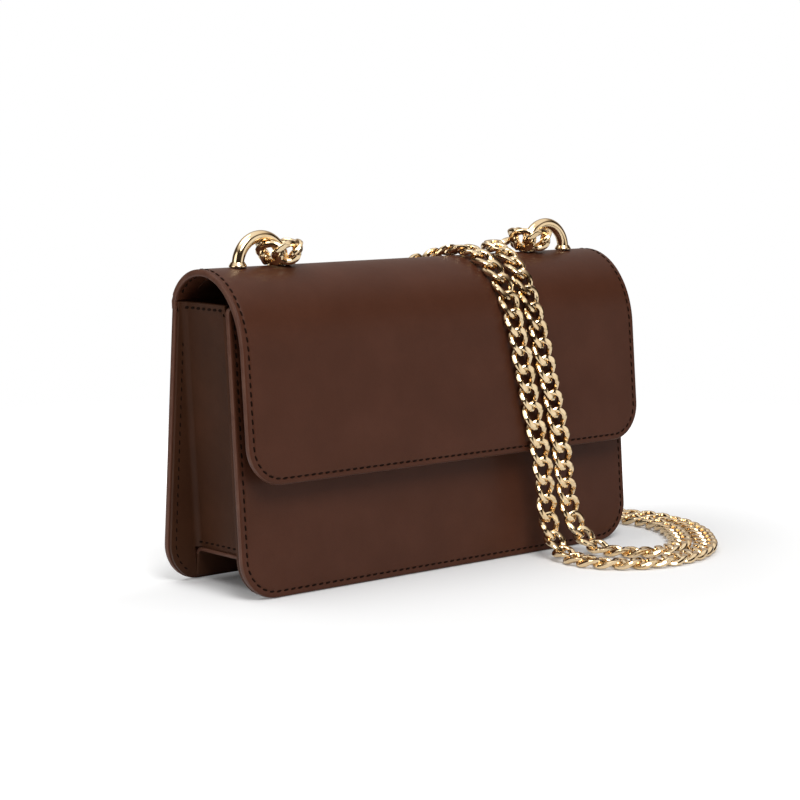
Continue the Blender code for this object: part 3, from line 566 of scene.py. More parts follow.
class BentWrap:
    """A bend about X: the length follows a profile in Y and Z, out is its normal."""

    def __init__(self, profile: np.ndarray) -> None:
        """Measure the profile, rows of (y, z), and find its normals."""
        self.profile = profile
        self.length = run_of(profile)
        slope = unit(np.gradient(profile, self.length, axis=0))
        self.normal = np.stack([slope[:, 1], -slope[:, 0]], axis=1)

    @property
    def total(self) -> float:
        """Length of the profile."""
        return float(self.length[-1])

    def __call__(self, across: np.ndarray, down: np.ndarray, out: np.ndarray) -> np.ndarray:
        """Place points along the profile and out along its normal."""
        here, normal = (sampled(line, self.length, down) for line in (self.profile, self.normal))
        return np.concatenate([(across + 0 * down)[..., None], here + normal * out[..., None]], axis=-1)


# Leather cut to a rounded outline, with a painted edge and a seam


@dataclass(frozen=True)
class Stitch:
    """One stitch of waxed thread, repeated along a seam.

    It is a bead whose radius is the fourth root of one less its place to the
    fourth power. It lies a little aslant, and its ends dip into the leather.
    """

    length: float = 2.35 * MM
    width: float = 0.88 * MM
    pitch: float = 3.6 * MM
    rise: float = 0.42
    slant: float = 0.06
    dip: float = 0.12 * MM
    tip_dip: float = 0.18 * MM
    rings: tuple[float, ...] = (-0.86, -0.45, 0.0, 0.45, 0.86)
    sides: int = 6

    def bead(self) -> Surface:
        """Rings and two tips about the stitch's middle, as (along, across, up)."""
        part = np.array(self.rings)[:, None]
        turn = np.arange(self.sides) * 2 * math.pi / self.sides
        radius = (1 - part ** 4) ** 0.25
        across = radius * np.cos(turn) * self.width / 2 + part * self.slant * self.length
        up = radius * np.sin(turn) * self.width * self.rise - part ** 2 * self.dip
        rings = np.stack([np.broadcast_to(part * self.length / 2, up.shape), across, up], axis=-1)
        tips = [[end * self.length / 2, end * self.slant * self.length, -self.tip_dip] for end in (-1, 1)]
        size, last = rings[..., 0].size, rings[:-1, :, 0].size
        ends = np.concatenate([fan(0, self.sides, size, True), fan(last, self.sides, size + 1, False)])
        return Surface(np.concatenate([rings.reshape(-1, 3), tips]),
                       grid_faces(len(part), self.sides, close_columns=True)[:, ::-1], ends)

    def sew(self, line: np.ndarray, normals: np.ndarray) -> Surface:
        """Lay one stitch at each pitch of a line.

        Args:
            line: points of the seam in order.
            normals: unit normals of the leather there.

        Returns:
            All the stitches in one surface.
        """
        run = run_of(line)
        count = max(1, int(run[-1] / self.pitch))
        places = (np.arange(count) + 0.5) * run[-1] / count
        ends = (sampled(line, run, places + shift) for shift in (self.length / 2, -self.length / 2))
        ahead = unit(np.subtract(*ends))
        up = sampled(normals, run, places)
        up = unit(up - ahead * np.einsum("ij,ij->i", up, ahead)[:, None])
        return self.bead().repeated(sampled(line, run, places), (ahead, np.cross(up, ahead), up))


@dataclass
class LeatherSheet:
    """A sheet cut flat, sewn round its edge and bent into place.

    In the flat, x runs across and s down from the upper edge. The half width is
    the plain one less what a corner's circle takes off, so the grid's rows end
    on the outline. The seam is a shallow groove, a bell curve of the distance
    from the outline.
    """

    half_width: float
    length: float
    thick: float
    wrap: Wrap
    upper_corner: float = 1.0 * MM
    lower_corner: float = 16.0 * MM
    foot_half_width: float | None = None
    edge: float = 1.1 * MM
    seam_inset: float = 2.6 * MM
    groove: float = 0.22 * MM
    groove_reach: float = 0.45 * MM
    lip_share: float = 0.35
    stitch_share: float = 0.75
    middle_columns: int = 56
    middle_rows: int = 60

    def plain_half(self, down: np.ndarray) -> np.ndarray:
        """Half width without corners, changing evenly from the upper edge to the foot."""
        foot = self.half_width if self.foot_half_width is None else self.foot_half_width
        return self.half_width + (foot - self.half_width) * down / self.length

    def half_at(self, down: np.ndarray, inset: float) -> np.ndarray:
        """Half width of the outline drawn in by an inset."""
        half = self.plain_half(down) - inset
        for corner, gap in ((self.upper_corner, down - inset),
                            (self.lower_corner, self.length - inset - down)):
            radius = max(corner - inset, LEAST_RADIUS)
            part = np.clip(radius - gap, 0, radius)
            half = half - (radius - np.sqrt(np.maximum(radius ** 2 - part ** 2, 0)))
        return half

    def depth_inside(self, across: np.ndarray, down: np.ndarray) -> np.ndarray:
        """Distance from the outline: that of a rectangle, or of a corner's circle near a corner."""
        side = self.plain_half(down) - np.abs(across)
        result = side
        for corner, gap in ((self.upper_corner, down), (self.lower_corner, self.length - down)):
            near = (side < corner) & (gap < corner)
            reach = np.hypot(np.maximum(corner - side, 0), np.maximum(corner - gap, 0))
            result = np.where(near, np.minimum(result, corner - reach), np.minimum(result, gap))
        return result

    def rows(self) -> np.ndarray:
        """Places of the rows: arcs of both corners, close rows at the seam and even ones between."""
        turn = np.linspace(0, math.pi / 2, 22)
        low, high = self.edge, self.length - self.edge
        upper, lower = (max(corner - self.edge, LEAST_RADIUS) * (1 - np.cos(turn))
                        for corner in (self.upper_corner, self.lower_corner))
        every = np.concatenate([low + upper, low + SEAM_ROWS, high - lower, high - SEAM_ROWS,
                                np.linspace(low, high, self.middle_rows)])
        every = np.unique(np.round(every[(every >= low) & (every <= high)], 6))
        return every[np.concatenate([[True], np.diff(every) > LEAST_STEP])]

    def columns(self, down: np.ndarray) -> np.ndarray:
        """Places across each row: close columns at both seams and even ones between."""
        half = self.half_at(down, self.edge)[:, None]
        left = SEAM_COLUMNS[None, :-1] - half
        middle = (half - SEAM_COLUMNS[-1]) * np.linspace(-1, 1, self.middle_columns)
        return np.concatenate([left, middle, -left[:, ::-1]], axis=1)

    def bead(self, rim: np.ndarray) -> np.ndarray:
        """Round the edge between the outer and the inner grid.

        The bead's profile is a superellipse, out from the grids' border by edge
        times |cos|^0.7 and up by half the thickness times |sin|^0.7.

        Args:
            rim: the border's places in the flat, rows of (x, s).

        Returns:
            Points by turn round the bead and place along the border.
        """
        ahead = unit(np.roll(rim, -1, axis=0) - np.roll(rim, 1, axis=0))
        turn = np.linspace(math.pi / 2, -math.pi / 2, len(BEAD_PAINT) + 1)[1:-1, None]
        reach = self.edge * np.abs(np.cos(turn)) ** BEAD_POWER
        level = self.thick / 2 * np.sign(np.sin(turn)) * np.abs(np.sin(turn)) ** BEAD_POWER
        across, down = rim[:, 0] + ahead[:, 1] * reach, rim[:, 1] - ahead[:, 0] * reach
        return self.wrap(across, down, np.broadcast_to(level, across.shape))

    def shell(self) -> Surface:
        """Close the sheet: an outer and an inner grid and a rounded bead between them.

        Returns:
            The closed surface; the middle of its bead has the second material.
        """
        down = self.rows()
        across = self.columns(down)
        down = np.broadcast_to(down[:, None], across.shape)
        inside = self.depth_inside(across, down)
        dip = self.groove * np.exp(-((inside - self.seam_inset) / self.groove_reach) ** 2)
        dip = dip + self.lip_share * self.groove * (inside < self.seam_inset)
        outer = self.wrap(across, down, self.thick / 2 - dip)
        under = self.wrap(across, down, -self.thick / 2 + dip)
        border = self.border(*across.shape)
        bead = self.bead(np.stack([across.ravel()[border], down.ravel()[border]], axis=1))
        size, count = across.size, len(border)
        faces = grid_faces(*across.shape)
        rings = (2 * size + place * count + np.arange(count) for place in range(len(bead)))
        levels = [border, *rings, border + size]
        strips = [np.stack([high, np.roll(high, -1), np.roll(low, -1), low], axis=1)
                  for high, low in zip(levels, levels[1:])]
        paint = np.concatenate([np.zeros(2 * len(faces)), np.repeat(BEAD_PAINT, count)])
        return Surface(np.concatenate([part.reshape(-1, 3) for part in (outer, under, bead)]),
                       np.concatenate([faces[:, ::-1], faces + size, *strips]), finish=paint).outwards()

    @staticmethod
    def border(rows: int, columns: int) -> np.ndarray:
        """Indices of a grid's border in order, each once."""
        return np.concatenate([np.arange(columns), np.arange(1, rows) * columns + columns - 1,
                               (rows - 1) * columns + np.arange(columns - 2, -1, -1),
                               np.arange(rows - 2, 0, -1) * columns])

    def seam_path(self, start: float) -> np.ndarray:
        """Walk the seam in the flat: down one side, along the foot and up the other.

        Args:
            start: where the seam starts below the upper edge.

        Returns:
            Rows of (x, s).
        """
        radius, low = self.lower_corner - self.seam_inset, self.length - self.lower_corner
        straight = np.linspace(start, low, 200)
        turn = np.linspace(0, math.pi / 2, 60)[1:]
        foot = self.plain_half(np.array([self.length]))[0] - self.lower_corner
        side = np.concatenate([np.stack([self.plain_half(straight) - self.seam_inset, straight], axis=1),
                               np.stack([foot + radius * np.cos(turn), low + radius * np.sin(turn)], axis=1)])
        return np.concatenate([side, side[::-1] * [-1, 1]])

    def seam(self, start: float, faces: Sequence[int] = (1,)) -> Surface:
        """Sew stitches along the seam on one or both faces.

        Args:
            start: where the seam starts below the upper edge.
            faces: 1 for the outer face, -1 for the inner one.

        Returns:
            The stitches.
        """
        across, down = self.seam_path(start).T
        parts = []
        for face in faces:
            level = np.full(len(across), face * (self.thick / 2 - self.groove * self.stitch_share))
            line = self.wrap(across, down, level)
            outside = self.wrap(across, down, level + face * NORMAL_STEP)
            parts.append(Stitch().sew(line, unit(outside - line)))
        return Surface.joined(parts)


# The bag's own sizes, as in its solids


class Face(Enum):
    """The two large panels, each with the sign of its depth."""

    FRONT = -1
    BACK = 1


@dataclass(frozen=True)
class BagForm:
    """Sizes of the body and flap that several pieces share, in metres."""

    half_width: float = 110 * MM
    half_depth: float = BACK_FOOT_Y
    front_height: float = 117.8 * MM
    front_top: float = -19.7 * MM
    hinge: float = 118.3 * MM
    back_top: float = 18.9 * MM
    panel: float = 3.0 * MM
    gap: float = 0.3 * MM
    crown_depth: float = -1.5 * MM
    crown: float = 129.0 * MM
    back_reach: float = 17.6 * MM
    back_drop: float = 15.0 * MM
    front_reach: float = 26.2 * MM
    front_drop: float = 33.0 * MM
    flap_foot: float = 47.0 * MM
    flap_lean: float = math.radians(4.65)
    flap_thick: float = 3.0 * MM

    def upper_edge(self, face: Face) -> tuple[float, float]:
        """Depth and height of a panel's upper edge."""
        return (self.front_top, self.front_height) if face is Face.FRONT else (self.back_top, self.hinge)

    def slope(self, face: Face) -> float:
        """How much deeper a panel lies for each unit of height."""
        depth, height = self.upper_edge(face)
        return (depth - face.value * self.half_depth) / height

    def lean(self, face: Face) -> float:
        """Angle of a panel from upright."""
        return math.atan(abs(self.slope(face)))

    def depth_at(self, face: Face, height: np.ndarray | float, inside: float = 0.0) -> np.ndarray | float:
        """Depth of a panel's outer face, or of a surface inside it."""
        foot = face.value * (self.half_depth - inside / math.cos(self.lean(face)))
        return foot + self.slope(face) * height + SHIFT

    def wrap(self, face: Face, top: float, inside: float) -> FlatWrap:
        """Plane inside a panel's outer face, from a height downwards."""
        across, up = face.value * math.sin(self.lean(face)), math.cos(self.lean(face))
        return FlatWrap((0, float(self.depth_at(face, top, inside)), top), (1, 0, 0), (0, across, -up),
                        (0, face.value * up, abs(across)))

    def flap_profile(self, offset: float, trim: float = 0.0) -> np.ndarray:
        """Profile of the flap, out from its inner face by an offset.

        Two quarter ellipses meet at the crown; the front one runs on as a
        straight from where its slope is the flap's lean.

        Args:
            offset: distance out along the normal.
            trim: how much higher than the flap's foot the profile stops.

        Returns:
            Rows of (y, z) from the hinge to the foot.
        """
        first = math.asin((self.hinge + self.gap - self.crown + self.back_drop) / self.back_drop)
        last = math.atan(math.tan(self.flap_lean) * self.front_drop / self.front_reach)
        arcs = []
        for turn, reach, drop in ((np.linspace(first, math.pi / 2, 60)[:-1], self.back_reach, self.back_drop),
                                  (np.linspace(math.pi / 2, last, 90), -self.front_reach, self.front_drop)):
            cos, sin = np.cos(turn), np.sin(turn)
            arcs.append(np.stack([self.crown_depth + reach * cos, self.crown - drop + drop * sin], axis=1)
                        + offset * unit(np.stack([cos / reach, sin / drop], axis=1)))
        line = np.concatenate(arcs)
        fall = line[-1, 1] - self.flap_foot - trim - offset * math.sin(self.flap_lean)
        run = np.linspace(0, fall, 80)[1:]
        straight = np.stack([line[-1, 0] - run * math.tan(self.flap_lean), line[-1, 1] - run], axis=1)
        return np.concatenate([line, straight]) + [SHIFT, 0]


FORM = BagForm()


@dataclass
class LeatherBody:
    """Front and back panels, gussets, base and everything inside them."""

    finishes: Finishes
    corner: float = 17 * MM
    front_top_corner: float = 3 * MM
    back_top_corner: float = 0.8 * MM
    top_trim: float = 0.15 * MM
    seam_start: float = 3 * MM
    gusset_top: float = 117.9 * MM
    gusset_thick: float = 1.4 * MM
    top_recess: float = 3 * MM
    foot_recess: float = 15 * MM
    flange_inset: float = 0.6 * MM
    flange_lift: float = 0.4 * MM
    flange_steps: int = 8
    fillet: float = 3.4 * MM
    fillet_steps: int = 9
    sag: float = 1.5 * MM
    sag_power: float = 0.8
    wall_foot: float = 14.5 * MM
    wall_even: float = 18 * MM
    burnish: float = 0.35 * MM
    hem: float = 16.4 * MM
    hem_thread: float = 0.95 * MM
    mouth_inset: float = 2.4 * MM
    mouth_thread: float = 1.3 * MM
    flange_seam_inset: float = 2.4 * MM
    flange_seam_end: float = 1 * MM
    flange_stitch: Stitch = Stitch(2.2 * MM, 0.8 * MM)
    thread_sunk: float = 0.1 * MM
    base_level: float = 12.6 * MM
    base_thick: float = 1.8 * MM
    base_foot: float = 1.6 * MM
    base_lip: float = 1.6 * MM
    base_bend: float = 3.2 * MM
    base_room: float = 0.5 * MM
    base_corner: float = 1 * MM
    base_edge: float = 0.7 * MM
    board_inset: float = 6.5 * MM
    board_room: float = 3.5 * MM
    board_thick: float = 1.4 * MM
    board_corner: float = 3 * MM
    board_edge: float = 0.4 * MM
    lining_foot: float = 14.7 * MM
    lining_top: float = 112.5 * MM
    lining_thick: float = 0.6 * MM
    lining_corner: float = 0.8 * MM
    lining_edge: float = 0.25 * MM
    lining_groove: float = 0.08 * MM
    lining_top_room: float = 2.3 * MM
    lining_foot_room: float = 0.8 * MM
    gusset_lining_room: float = 1.1 * MM
    gusset_lining_inset: float = 1.7 * MM
    pocket_half_width: float = 65 * MM
    pocket_length: float = 58 * MM
    pocket_top: float = 95.8 * MM
    pocket_thick: float = 0.9 * MM
    pocket_inside: float = 1.65 * MM
    pocket_corner: float = 8 * MM
    pocket_edge: float = 0.35 * MM
    pocket_groove: float = 0.1 * MM
    pocket_seam: float = 2 * MM
    pocket_seam_start: float = 1 * MM

    def make(self) -> None:
        """Build and dress every piece of the body."""
        self.make_panels()
        for side, word in ((-1, "left"), (1, "right")):
            self.make_gusset(side, word)
        self.make_base()
        self.make_board()
        self.make_panel_linings()
        for side, word in ((-1, "left"), (1, "right")):
            self.make_gusset_lining(side, word)
        self.make_pocket()

    def make_panels(self) -> None:
        """Cut the front and back panels and sew their edges."""
        skins = (self.finishes.leather, self.finishes.edge)
        for face, upper_corner in ((Face.FRONT, self.front_top_corner), (Face.BACK, self.back_top_corner)):
            node, height = f"{face.name.lower()}_panel", FORM.upper_edge(face)[1]
            length = (height - self.top_trim) / math.cos(FORM.lean(face))
            sheet = LeatherSheet(FORM.half_width, length, FORM.panel, FORM.wrap(face, height, FORM.panel / 2),
                                 upper_corner, self.corner)
            Piece(f"{node}_leather", sheet.shell(), skins, Body.BAG, Slot.LEATHER, [node]).make()
            self.make_seam(f"{node}_seam", sheet.seam(self.seam_start))

    def make_seam(self, name: str, stitches: Surface) -> None:
        """Turn stitches into a piece of waxed thread on the body."""
        Piece(name, stitches, [self.finishes.thread], Body.BAG, Slot.LINING).make()

    def share(self, height: np.ndarray) -> np.ndarray:
        """Place of a height between the gusset wall's foot and its top, from 0 to 1."""
        return (height - self.base_level) / (self.gusset_top - self.base_level)

    def wall_at(self, height: np.ndarray | float) -> np.ndarray | float:
        """Middle of the gusset's wall from the bag's centre: the recess changes evenly with height."""
        recess = self.foot_recess + (self.top_recess - self.foot_recess) * self.share(height)
        return FORM.half_width - recess - self.gusset_thick / 2

    def inner_reach(self, height: float, room: float) -> float:
        """How far a piece between the gussets reaches, with room left to each wall."""
        return self.wall_at(height) - self.gusset_thick / 2 - room

    def flange_edge(self, height: np.ndarray) -> np.ndarray:
        """Outer edge of a gusset's flange: just inside the panel's side and its round corner."""
        part = np.clip(self.corner - height, 0, self.corner)
        return FORM.half_width - self.flange_inset - (self.corner - np.sqrt(self.corner ** 2 - part ** 2))

    def gusset_surface(self, side: int) -> tuple[np.ndarray, np.ndarray, np.ndarray]:
        """Lay the gusset's middle surface as a grid of heights by places along its section.

        The section runs in along the front flange, round a quarter circle, across
        the wall, which sags in by a sine of its height and of its depth, and back
        out along the other flange.

        Args:
            side: -1 for the left gusset, 1 for the right one.

        Returns:
            Points by row and column, the rows' heights and which columns are flange.
        """
        height = np.unique(np.concatenate([np.linspace(self.base_foot + self.flange_lift, self.wall_foot, 9),
                                           np.linspace(self.wall_foot, self.wall_even, 6),
                                           np.linspace(self.wall_even, self.gusset_top, 48)]))
        level = height[:, None]
        wall, edge = self.wall_at(level), self.flange_edge(level)
        inside = FORM.panel + FORM.gap + self.gusset_thick / 2
        front, back = FORM.depth_at(Face.FRONT, level, inside), FORM.depth_at(Face.BACK, level, inside)
        flange = np.linspace(0, 1, self.flange_steps + 1)[None, :-1]
        turn = np.linspace(0, math.pi / 2, self.fillet_steps)[None, :]
        across = np.linspace(0, 1, 26)[None, 1:-1]
        run_x = edge + (wall + self.fillet - edge) * flange
        arc_x = wall + self.fillet * (1 - np.sin(turn))
        arc_y = self.fillet * (1 - np.cos(turn))
        soft = np.sin(math.pi * np.clip(self.share(level), 0, 1)) ** self.sag_power
        middle_x = wall - self.sag * soft * np.sin(math.pi * across) ** self.sag_power
        middle_y = (front + self.fillet) + (back - front - 2 * self.fillet) * across
        grid_x = np.concatenate([run_x, arc_x, middle_x, arc_x[:, ::-1], run_x[:, ::-1]], axis=1)
        grid_y = np.concatenate([front + 0 * run_x, front + arc_y, middle_y, back - arc_y[:, ::-1],
                                 back + 0 * run_x], axis=1)
        grid = np.stack([side * grid_x, grid_y, np.broadcast_to(level, grid_x.shape)], axis=-1)
        columns = np.arange(grid_x.shape[1])
        bound = self.flange_steps + 2
        return grid, height, (columns < bound) | (columns >= len(columns) - bound)

    def make_gusset(self, side: int, word: str) -> None:
        """Give the gusset its thickness and sew its flanges, its hem and its mouth."""
        grid, height, is_flange = self.gusset_surface(side)
        rows, columns = grid.shape[:2]
        normal = unit(np.cross(np.gradient(grid, axis=1), np.gradient(grid, axis=0)))
        if side * normal[rows // 2, columns // 2, 0] < 0:
            normal = -normal
        # Below the base only the flanges go on
        keep = np.ones((rows - 1, columns - 1), bool)
        keep[height[:-1] < self.wall_foot - LEAST_STEP] = is_flange[:-1] & is_flange[1:]
        faces = grid_faces(rows, columns)[keep.ravel()]
        half, size = self.gusset_thick / 2, rows * columns
        edges = np.concatenate([faces[:, [place, (place + 1) % 4]] for place in range(4)])
        _, inverse, count = np.unique(np.sort(edges, axis=1), axis=0, return_inverse=True, return_counts=True)
        rim = edges[count[inverse.ravel()] == 1]
        walls = np.stack([rim[:, 1], rim[:, 0], rim[:, 0] + size, rim[:, 1] + size], axis=1)
        quads = np.concatenate([faces, faces[:, ::-1] + size, walls])
        used, compact = np.unique(quads, return_inverse=True)
        points = np.concatenate([(grid + sense * half * normal).reshape(-1, 3) for sense in (1, -1)])[used]
        shape = Surface(points, compact.reshape(quads.shape)).outwards()
        # The gusset's leather is dyed darker than the panels' as painted shade of the side wall
        made = Piece(f"gusset_{word}_leather", shape, [self.finishes.gusset], Body.BAG, Slot.GUSSET,
                     [f"gusset_{word}"]).make()
        bevel = made.modifiers.new("burnished_edge", "BEVEL")
        bevel.width = self.burnish
        bevel.segments = 2
        bevel.limit_method = "ANGLE"
        bevel.angle_limit = math.radians(50)
        lines = self.flange_seams(side)
        ends = slice(self.flange_steps + 3, -self.flange_steps - 3)
        for level, senses, width in ((self.hem, (1,), self.hem_thread),
                                     (self.gusset_top - self.mouth_inset, (1, -1), self.mouth_thread)):
            row = int(np.argmin(np.abs(height - level)))
            for sense in senses:
                face = sense * normal[row, ends]
                line = grid[row, ends] + face * (half - self.thread_sunk)
                lines.append(Stitch(width=width).sew(line, face))
        self.make_seam(f"gusset_{word}_seams", Surface.joined(lines))

    def flange_seams(self, side: int) -> list[Surface]:
        """Sew both flanges of a gusset along a line inside their outline.

        The line is an arc of the corner's radius less the inset, then a straight.

        Args:
            side: -1 for the left gusset, 1 for the right one.

        Returns:
            The stitches of each flange.
        """
        turn = np.linspace(math.radians(58), 0, 60)
        radius = self.corner - self.flange_seam_inset
        centre = FORM.half_width - self.flange_inset - self.corner
        up = np.linspace(self.corner, self.gusset_top - self.flange_seam_end, 200)[1:]
        across = np.concatenate([centre + radius * np.cos(turn), np.full(len(up), centre + radius)])
        level = np.concatenate([self.corner - radius * np.sin(turn), up])
        inside = FORM.panel + FORM.gap + self.gusset_thick - self.thread_sunk
        return [self.flange_stitch.sew(
            np.stack([side * across, FORM.depth_at(face, level, inside), level], axis=1),
            np.tile([0.0, -face.value, 0.0], (len(level), 1))) for face in Face]

    def make_base(self) -> None:
        """Bend the base: a flange up the back, across, and down the front."""
        inside = FORM.panel + FORM.gap + self.base_thick / 2
        turn = np.linspace(0, math.pi / 2, 12)
        level = self.base_level + self.base_thick / 2 - self.base_bend * (1 - np.sin(turn))
        half = []
        for face in (Face.BACK, Face.FRONT):
            flat = FORM.depth_at(face, self.base_level + self.base_thick / 2, inside)
            bent = np.stack([flat - face.value * self.base_bend * (1 - np.cos(turn)), level], axis=1)
            foot = [FORM.depth_at(face, self.base_foot, inside), self.base_foot]
            half.append(np.concatenate([[foot], bent]))
        wrap = BentWrap(np.concatenate([half[0], half[1][::-1]]))
        lip = self.inner_reach(self.base_level, self.base_room) + self.base_lip + self.gusset_thick
        shape = LeatherSheet(lip, wrap.total, self.base_thick, wrap, lower_corner=self.base_corner,
                             edge=self.base_edge, groove=0.0).shell()
        # Only the edge of the level part takes the edge paint; the turned-down flanges keep the darker gusset
        # hide on their unlit edges, as painted shade
        turned = shape.points[shape.quads].mean(axis=1)[:, 2] < self.base_level - self.base_bend / 2
        shape.finish[turned] = 0
        Piece("base_leather", shape, (self.finishes.gusset, self.finishes.edge), Body.BAG, Slot.GUSSET,
              ["base_panel"]).make()

    def make_board(self) -> None:
        """Lay the stiff board on the base."""
        low = self.base_level + self.base_thick + FORM.gap + self.board_thick / 2
        front, back = (float(FORM.depth_at(face, low, self.board_inset)) for face in Face)
        half = self.inner_reach(self.base_level, self.board_room)
        board = LeatherSheet(half, back - front, self.board_thick,
                             FlatWrap((0, front, low), (1, 0, 0), (0, 1, 0), (0, 0, 1)),
                             self.board_corner, self.board_corner, edge=self.board_edge, groove=0.0)
        Piece("base_stiffener", board.shell(), (self.finishes.board, self.finishes.board), Body.BAG,
              Slot.BOARD, ["base_board"]).make()

    def make_lining(self, name: str, node: str, sheet: LeatherSheet) -> None:
        """Turn a sheet into a piece of lining cloth that stands for a node."""
        cloth = (self.finishes.lining, self.finishes.lining)
        Piece(name, sheet.shell(), cloth, Body.BAG, Slot.LINING, [node]).make()

    def make_panel_linings(self) -> None:
        """Line the front and back panels."""
        for face in Face:
            wrap = FORM.wrap(face, self.lining_top, FORM.panel + FORM.gap + self.lining_thick / 2)
            node = f"{face.name.lower()}_lining"
            top_half = self.inner_reach(self.lining_top, self.lining_top_room)
            foot_half = self.inner_reach(self.lining_foot, self.lining_foot_room)
            self.make_lining(f"{node}_cloth", node, LeatherSheet(
                top_half, self.lining_top - self.lining_foot, self.lining_thick, wrap, self.lining_corner,
                self.lining_corner, foot_half, self.lining_edge, groove=self.lining_groove, middle_rows=24))

    def make_gusset_lining(self, side: int, word: str) -> None:
        """Line a gusset along the slope of its wall."""
        low, high = self.lining_foot, self.lining_top
        slope = math.atan((self.wall_at(high) - self.wall_at(low)) / (high - low))
        edge = FORM.panel + self.gusset_lining_inset + FORM.gap
        half_top, half_foot = (
            float(FORM.depth_at(Face.BACK, level, edge) - FORM.depth_at(Face.FRONT, level, edge)) / 2
            for level in (high, low))
        middle = float(FORM.depth_at(Face.BACK, high) + FORM.depth_at(Face.FRONT, high)) / 2
        sine, cosine = math.sin(slope), math.cos(slope)
        reach = self.inner_reach(high, self.gusset_lining_room) - self.sag
        wrap = FlatWrap((side * reach, middle, high), (0, 1, 0), (-side * sine, 0, -cosine),
                        (-side * cosine, 0, sine))
        self.make_lining(f"gusset_{word}_lining_cloth", f"gusset_lining_{word}", LeatherSheet(
            half_top, (high - low) / cosine, self.lining_thick, wrap, self.lining_corner, self.lining_corner,
            half_foot, self.lining_edge, groove=0.0, middle_rows=24, middle_columns=16))

    def make_pocket(self) -> None:
        """Sew the slip pocket to the back lining."""
        wrap = FORM.wrap(Face.BACK, self.pocket_top, FORM.panel + self.pocket_inside)
        pocket = LeatherSheet(self.pocket_half_width, self.pocket_length, self.pocket_thick, wrap,
                              self.lining_corner, self.pocket_corner, edge=self.pocket_edge,
                              groove=self.pocket_groove, seam_inset=self.pocket_seam, middle_rows=24,
                              middle_columns=30)
        self.make_lining("slip_pocket_cloth", "slip_pocket", pocket)
        self.make_seam("slip_pocket_seam", pocket.seam(self.pocket_seam_start, (-1,)))


@dataclass
class Flap:
    """The flap that runs over the top, its lining and the flexible strip at its hinge."""

    finishes: Finishes
    half_width: float = 110.9 * MM
    corner: float = 16 * MM
    top_corner: float = 0.8 * MM
    seam_start: float = 2.5 * MM
    lining_thick: float = 0.4 * MM
    lining_inset: float = 9 * MM
    lining_start: int = 14
    lining_top_corner: float = 1 * MM
    lining_corner: float = 9 * MM
    lining_edge: float = 0.2 * MM
    lining_groove: float = 0.05 * MM
    strip_reach: float = 4.5 * MM
    strip_cover: float = 0.06 * MM
    strip_below: float = 0.2 * MM
    strip_above: float = 0.3 * MM
    strip_corner: float = 0.3 * MM
    bend_reach: float = 2 * MM

    def make(self) -> None:
        """Bend the flap over, sew it and line it."""
        wrap = BentWrap(FORM.flap_profile(FORM.flap_thick / 2))
        sheet = LeatherSheet(self.half_width, wrap.total, FORM.flap_thick, wrap, self.top_corner, self.corner,
                             middle_columns=90, middle_rows=110)
        skins = (self.finishes.leather, self.finishes.edge)
        Piece("flap_leather", sheet.shell(), skins, Body.FLAP, Slot.LEATHER, ["flap"]).make()
        stitches = sheet.seam(self.seam_start, (1, -1))
        Piece("flap_seam", stitches, [self.finishes.thread], Body.FLAP, Slot.LINING).make()
        self.make_strip(wrap.profile)
        inner = FORM.flap_profile(-FORM.gap - self.lining_thick / 2, self.lining_inset)
        bent = BentWrap(inner[self.lining_start:])
        lining = LeatherSheet(self.half_width - self.lining_inset, bent.total, self.lining_thick, bent,
                              self.lining_top_corner, self.lining_corner, edge=self.lining_edge,
                              groove=self.lining_groove)
        # The lining and its edge take the gussets' darker leather, whose dye is painted shade
        skins = (self.finishes.gusset, self.finishes.gusset)
        Piece("flap_lining_leather", lining.shell(), skins, Body.FLAP, Slot.LINING, ["flap_lining"]).make()

    def make_strip(self, above: np.ndarray) -> None:
        """Fold a thin strip round the joint of back panel and flap.

        Args:
            above: the flap's middle profile from the hinge, rows of (y, z).
        """
        level = np.linspace(FORM.hinge - self.strip_reach, FORM.hinge - self.strip_below, 12)
        below = np.stack([FORM.depth_at(Face.BACK, level, FORM.panel / 2), level], axis=1)
        run = run_of(above)
        above = above[(run < self.strip_reach) & (run > self.strip_above)]
        wrap = BentWrap(np.concatenate([above[::-1], below[::-1]]))
        thick = FORM.flap_thick + 2 * self.strip_cover
        strip = LeatherSheet(self.half_width + self.strip_cover, wrap.total, thick, wrap, self.strip_corner,
                             self.strip_corner, FORM.half_width + self.strip_cover, groove=0.0,
                             middle_rows=30)
        depth = float(wrap.profile[-1, 0])
        bend = ((0.0, depth, FORM.hinge - self.bend_reach), (0.0, depth, FORM.hinge + self.bend_reach))
        Piece("hinge_strip_leather", strip.shell(), (self.finishes.leather, self.finishes.edge), Body.FLAP,
              Slot.LEATHER, bend=bend).make()


# Metal


def lathe(profile: np.ndarray, origin: Sequence[float], axis: Sequence[float],
          steps: int = 40) -> Surface:
    """Turn a profile of (radius, height) about an axis.

    A point is the origin plus its height along the axis plus its radius along
    a direction that goes round.

    Args:
        profile: rows of radius and height, starting and ending on the axis or at one place.
        origin: where height zero lies.
        axis: direction of height.
        steps: number of steps round.

    Returns:
        The turned surface, closed.
    """
    up = unit(np.array(axis, float))
    side = unit(np.cross(up, [1.0, 0, 0] if abs(up[0]) < 0.9 else [0, 1.0, 0]))
    turn = np.arange(steps) * 2 * math.pi / steps
    ring = np.cos(turn)[:, None] * side + np.sin(turn)[:, None] * np.cross(up, side)
    on_axis = profile[0, 0] == 0
    body = profile[1:-1] if on_axis else profile[:-1]
    points = np.array(origin) + body[:, 1, None, None] * up + body[:, 0, None, None] * ring[None]
    faces = grid_faces(len(body), steps, close_rows=not on_axis, close_columns=True)
    shape = Surface(points.reshape(-1, 3), faces)
    if on_axis:
        size = len(shape.points)
        shape.points = np.concatenate([shape.points, np.array(origin) + profile[[0, -1], 1, None] * up])
        shape.triangles = np.concatenate([fan(0, steps, size, False),
                                          fan(size - steps, steps, size + 1, True)])
    return shape.outwards()


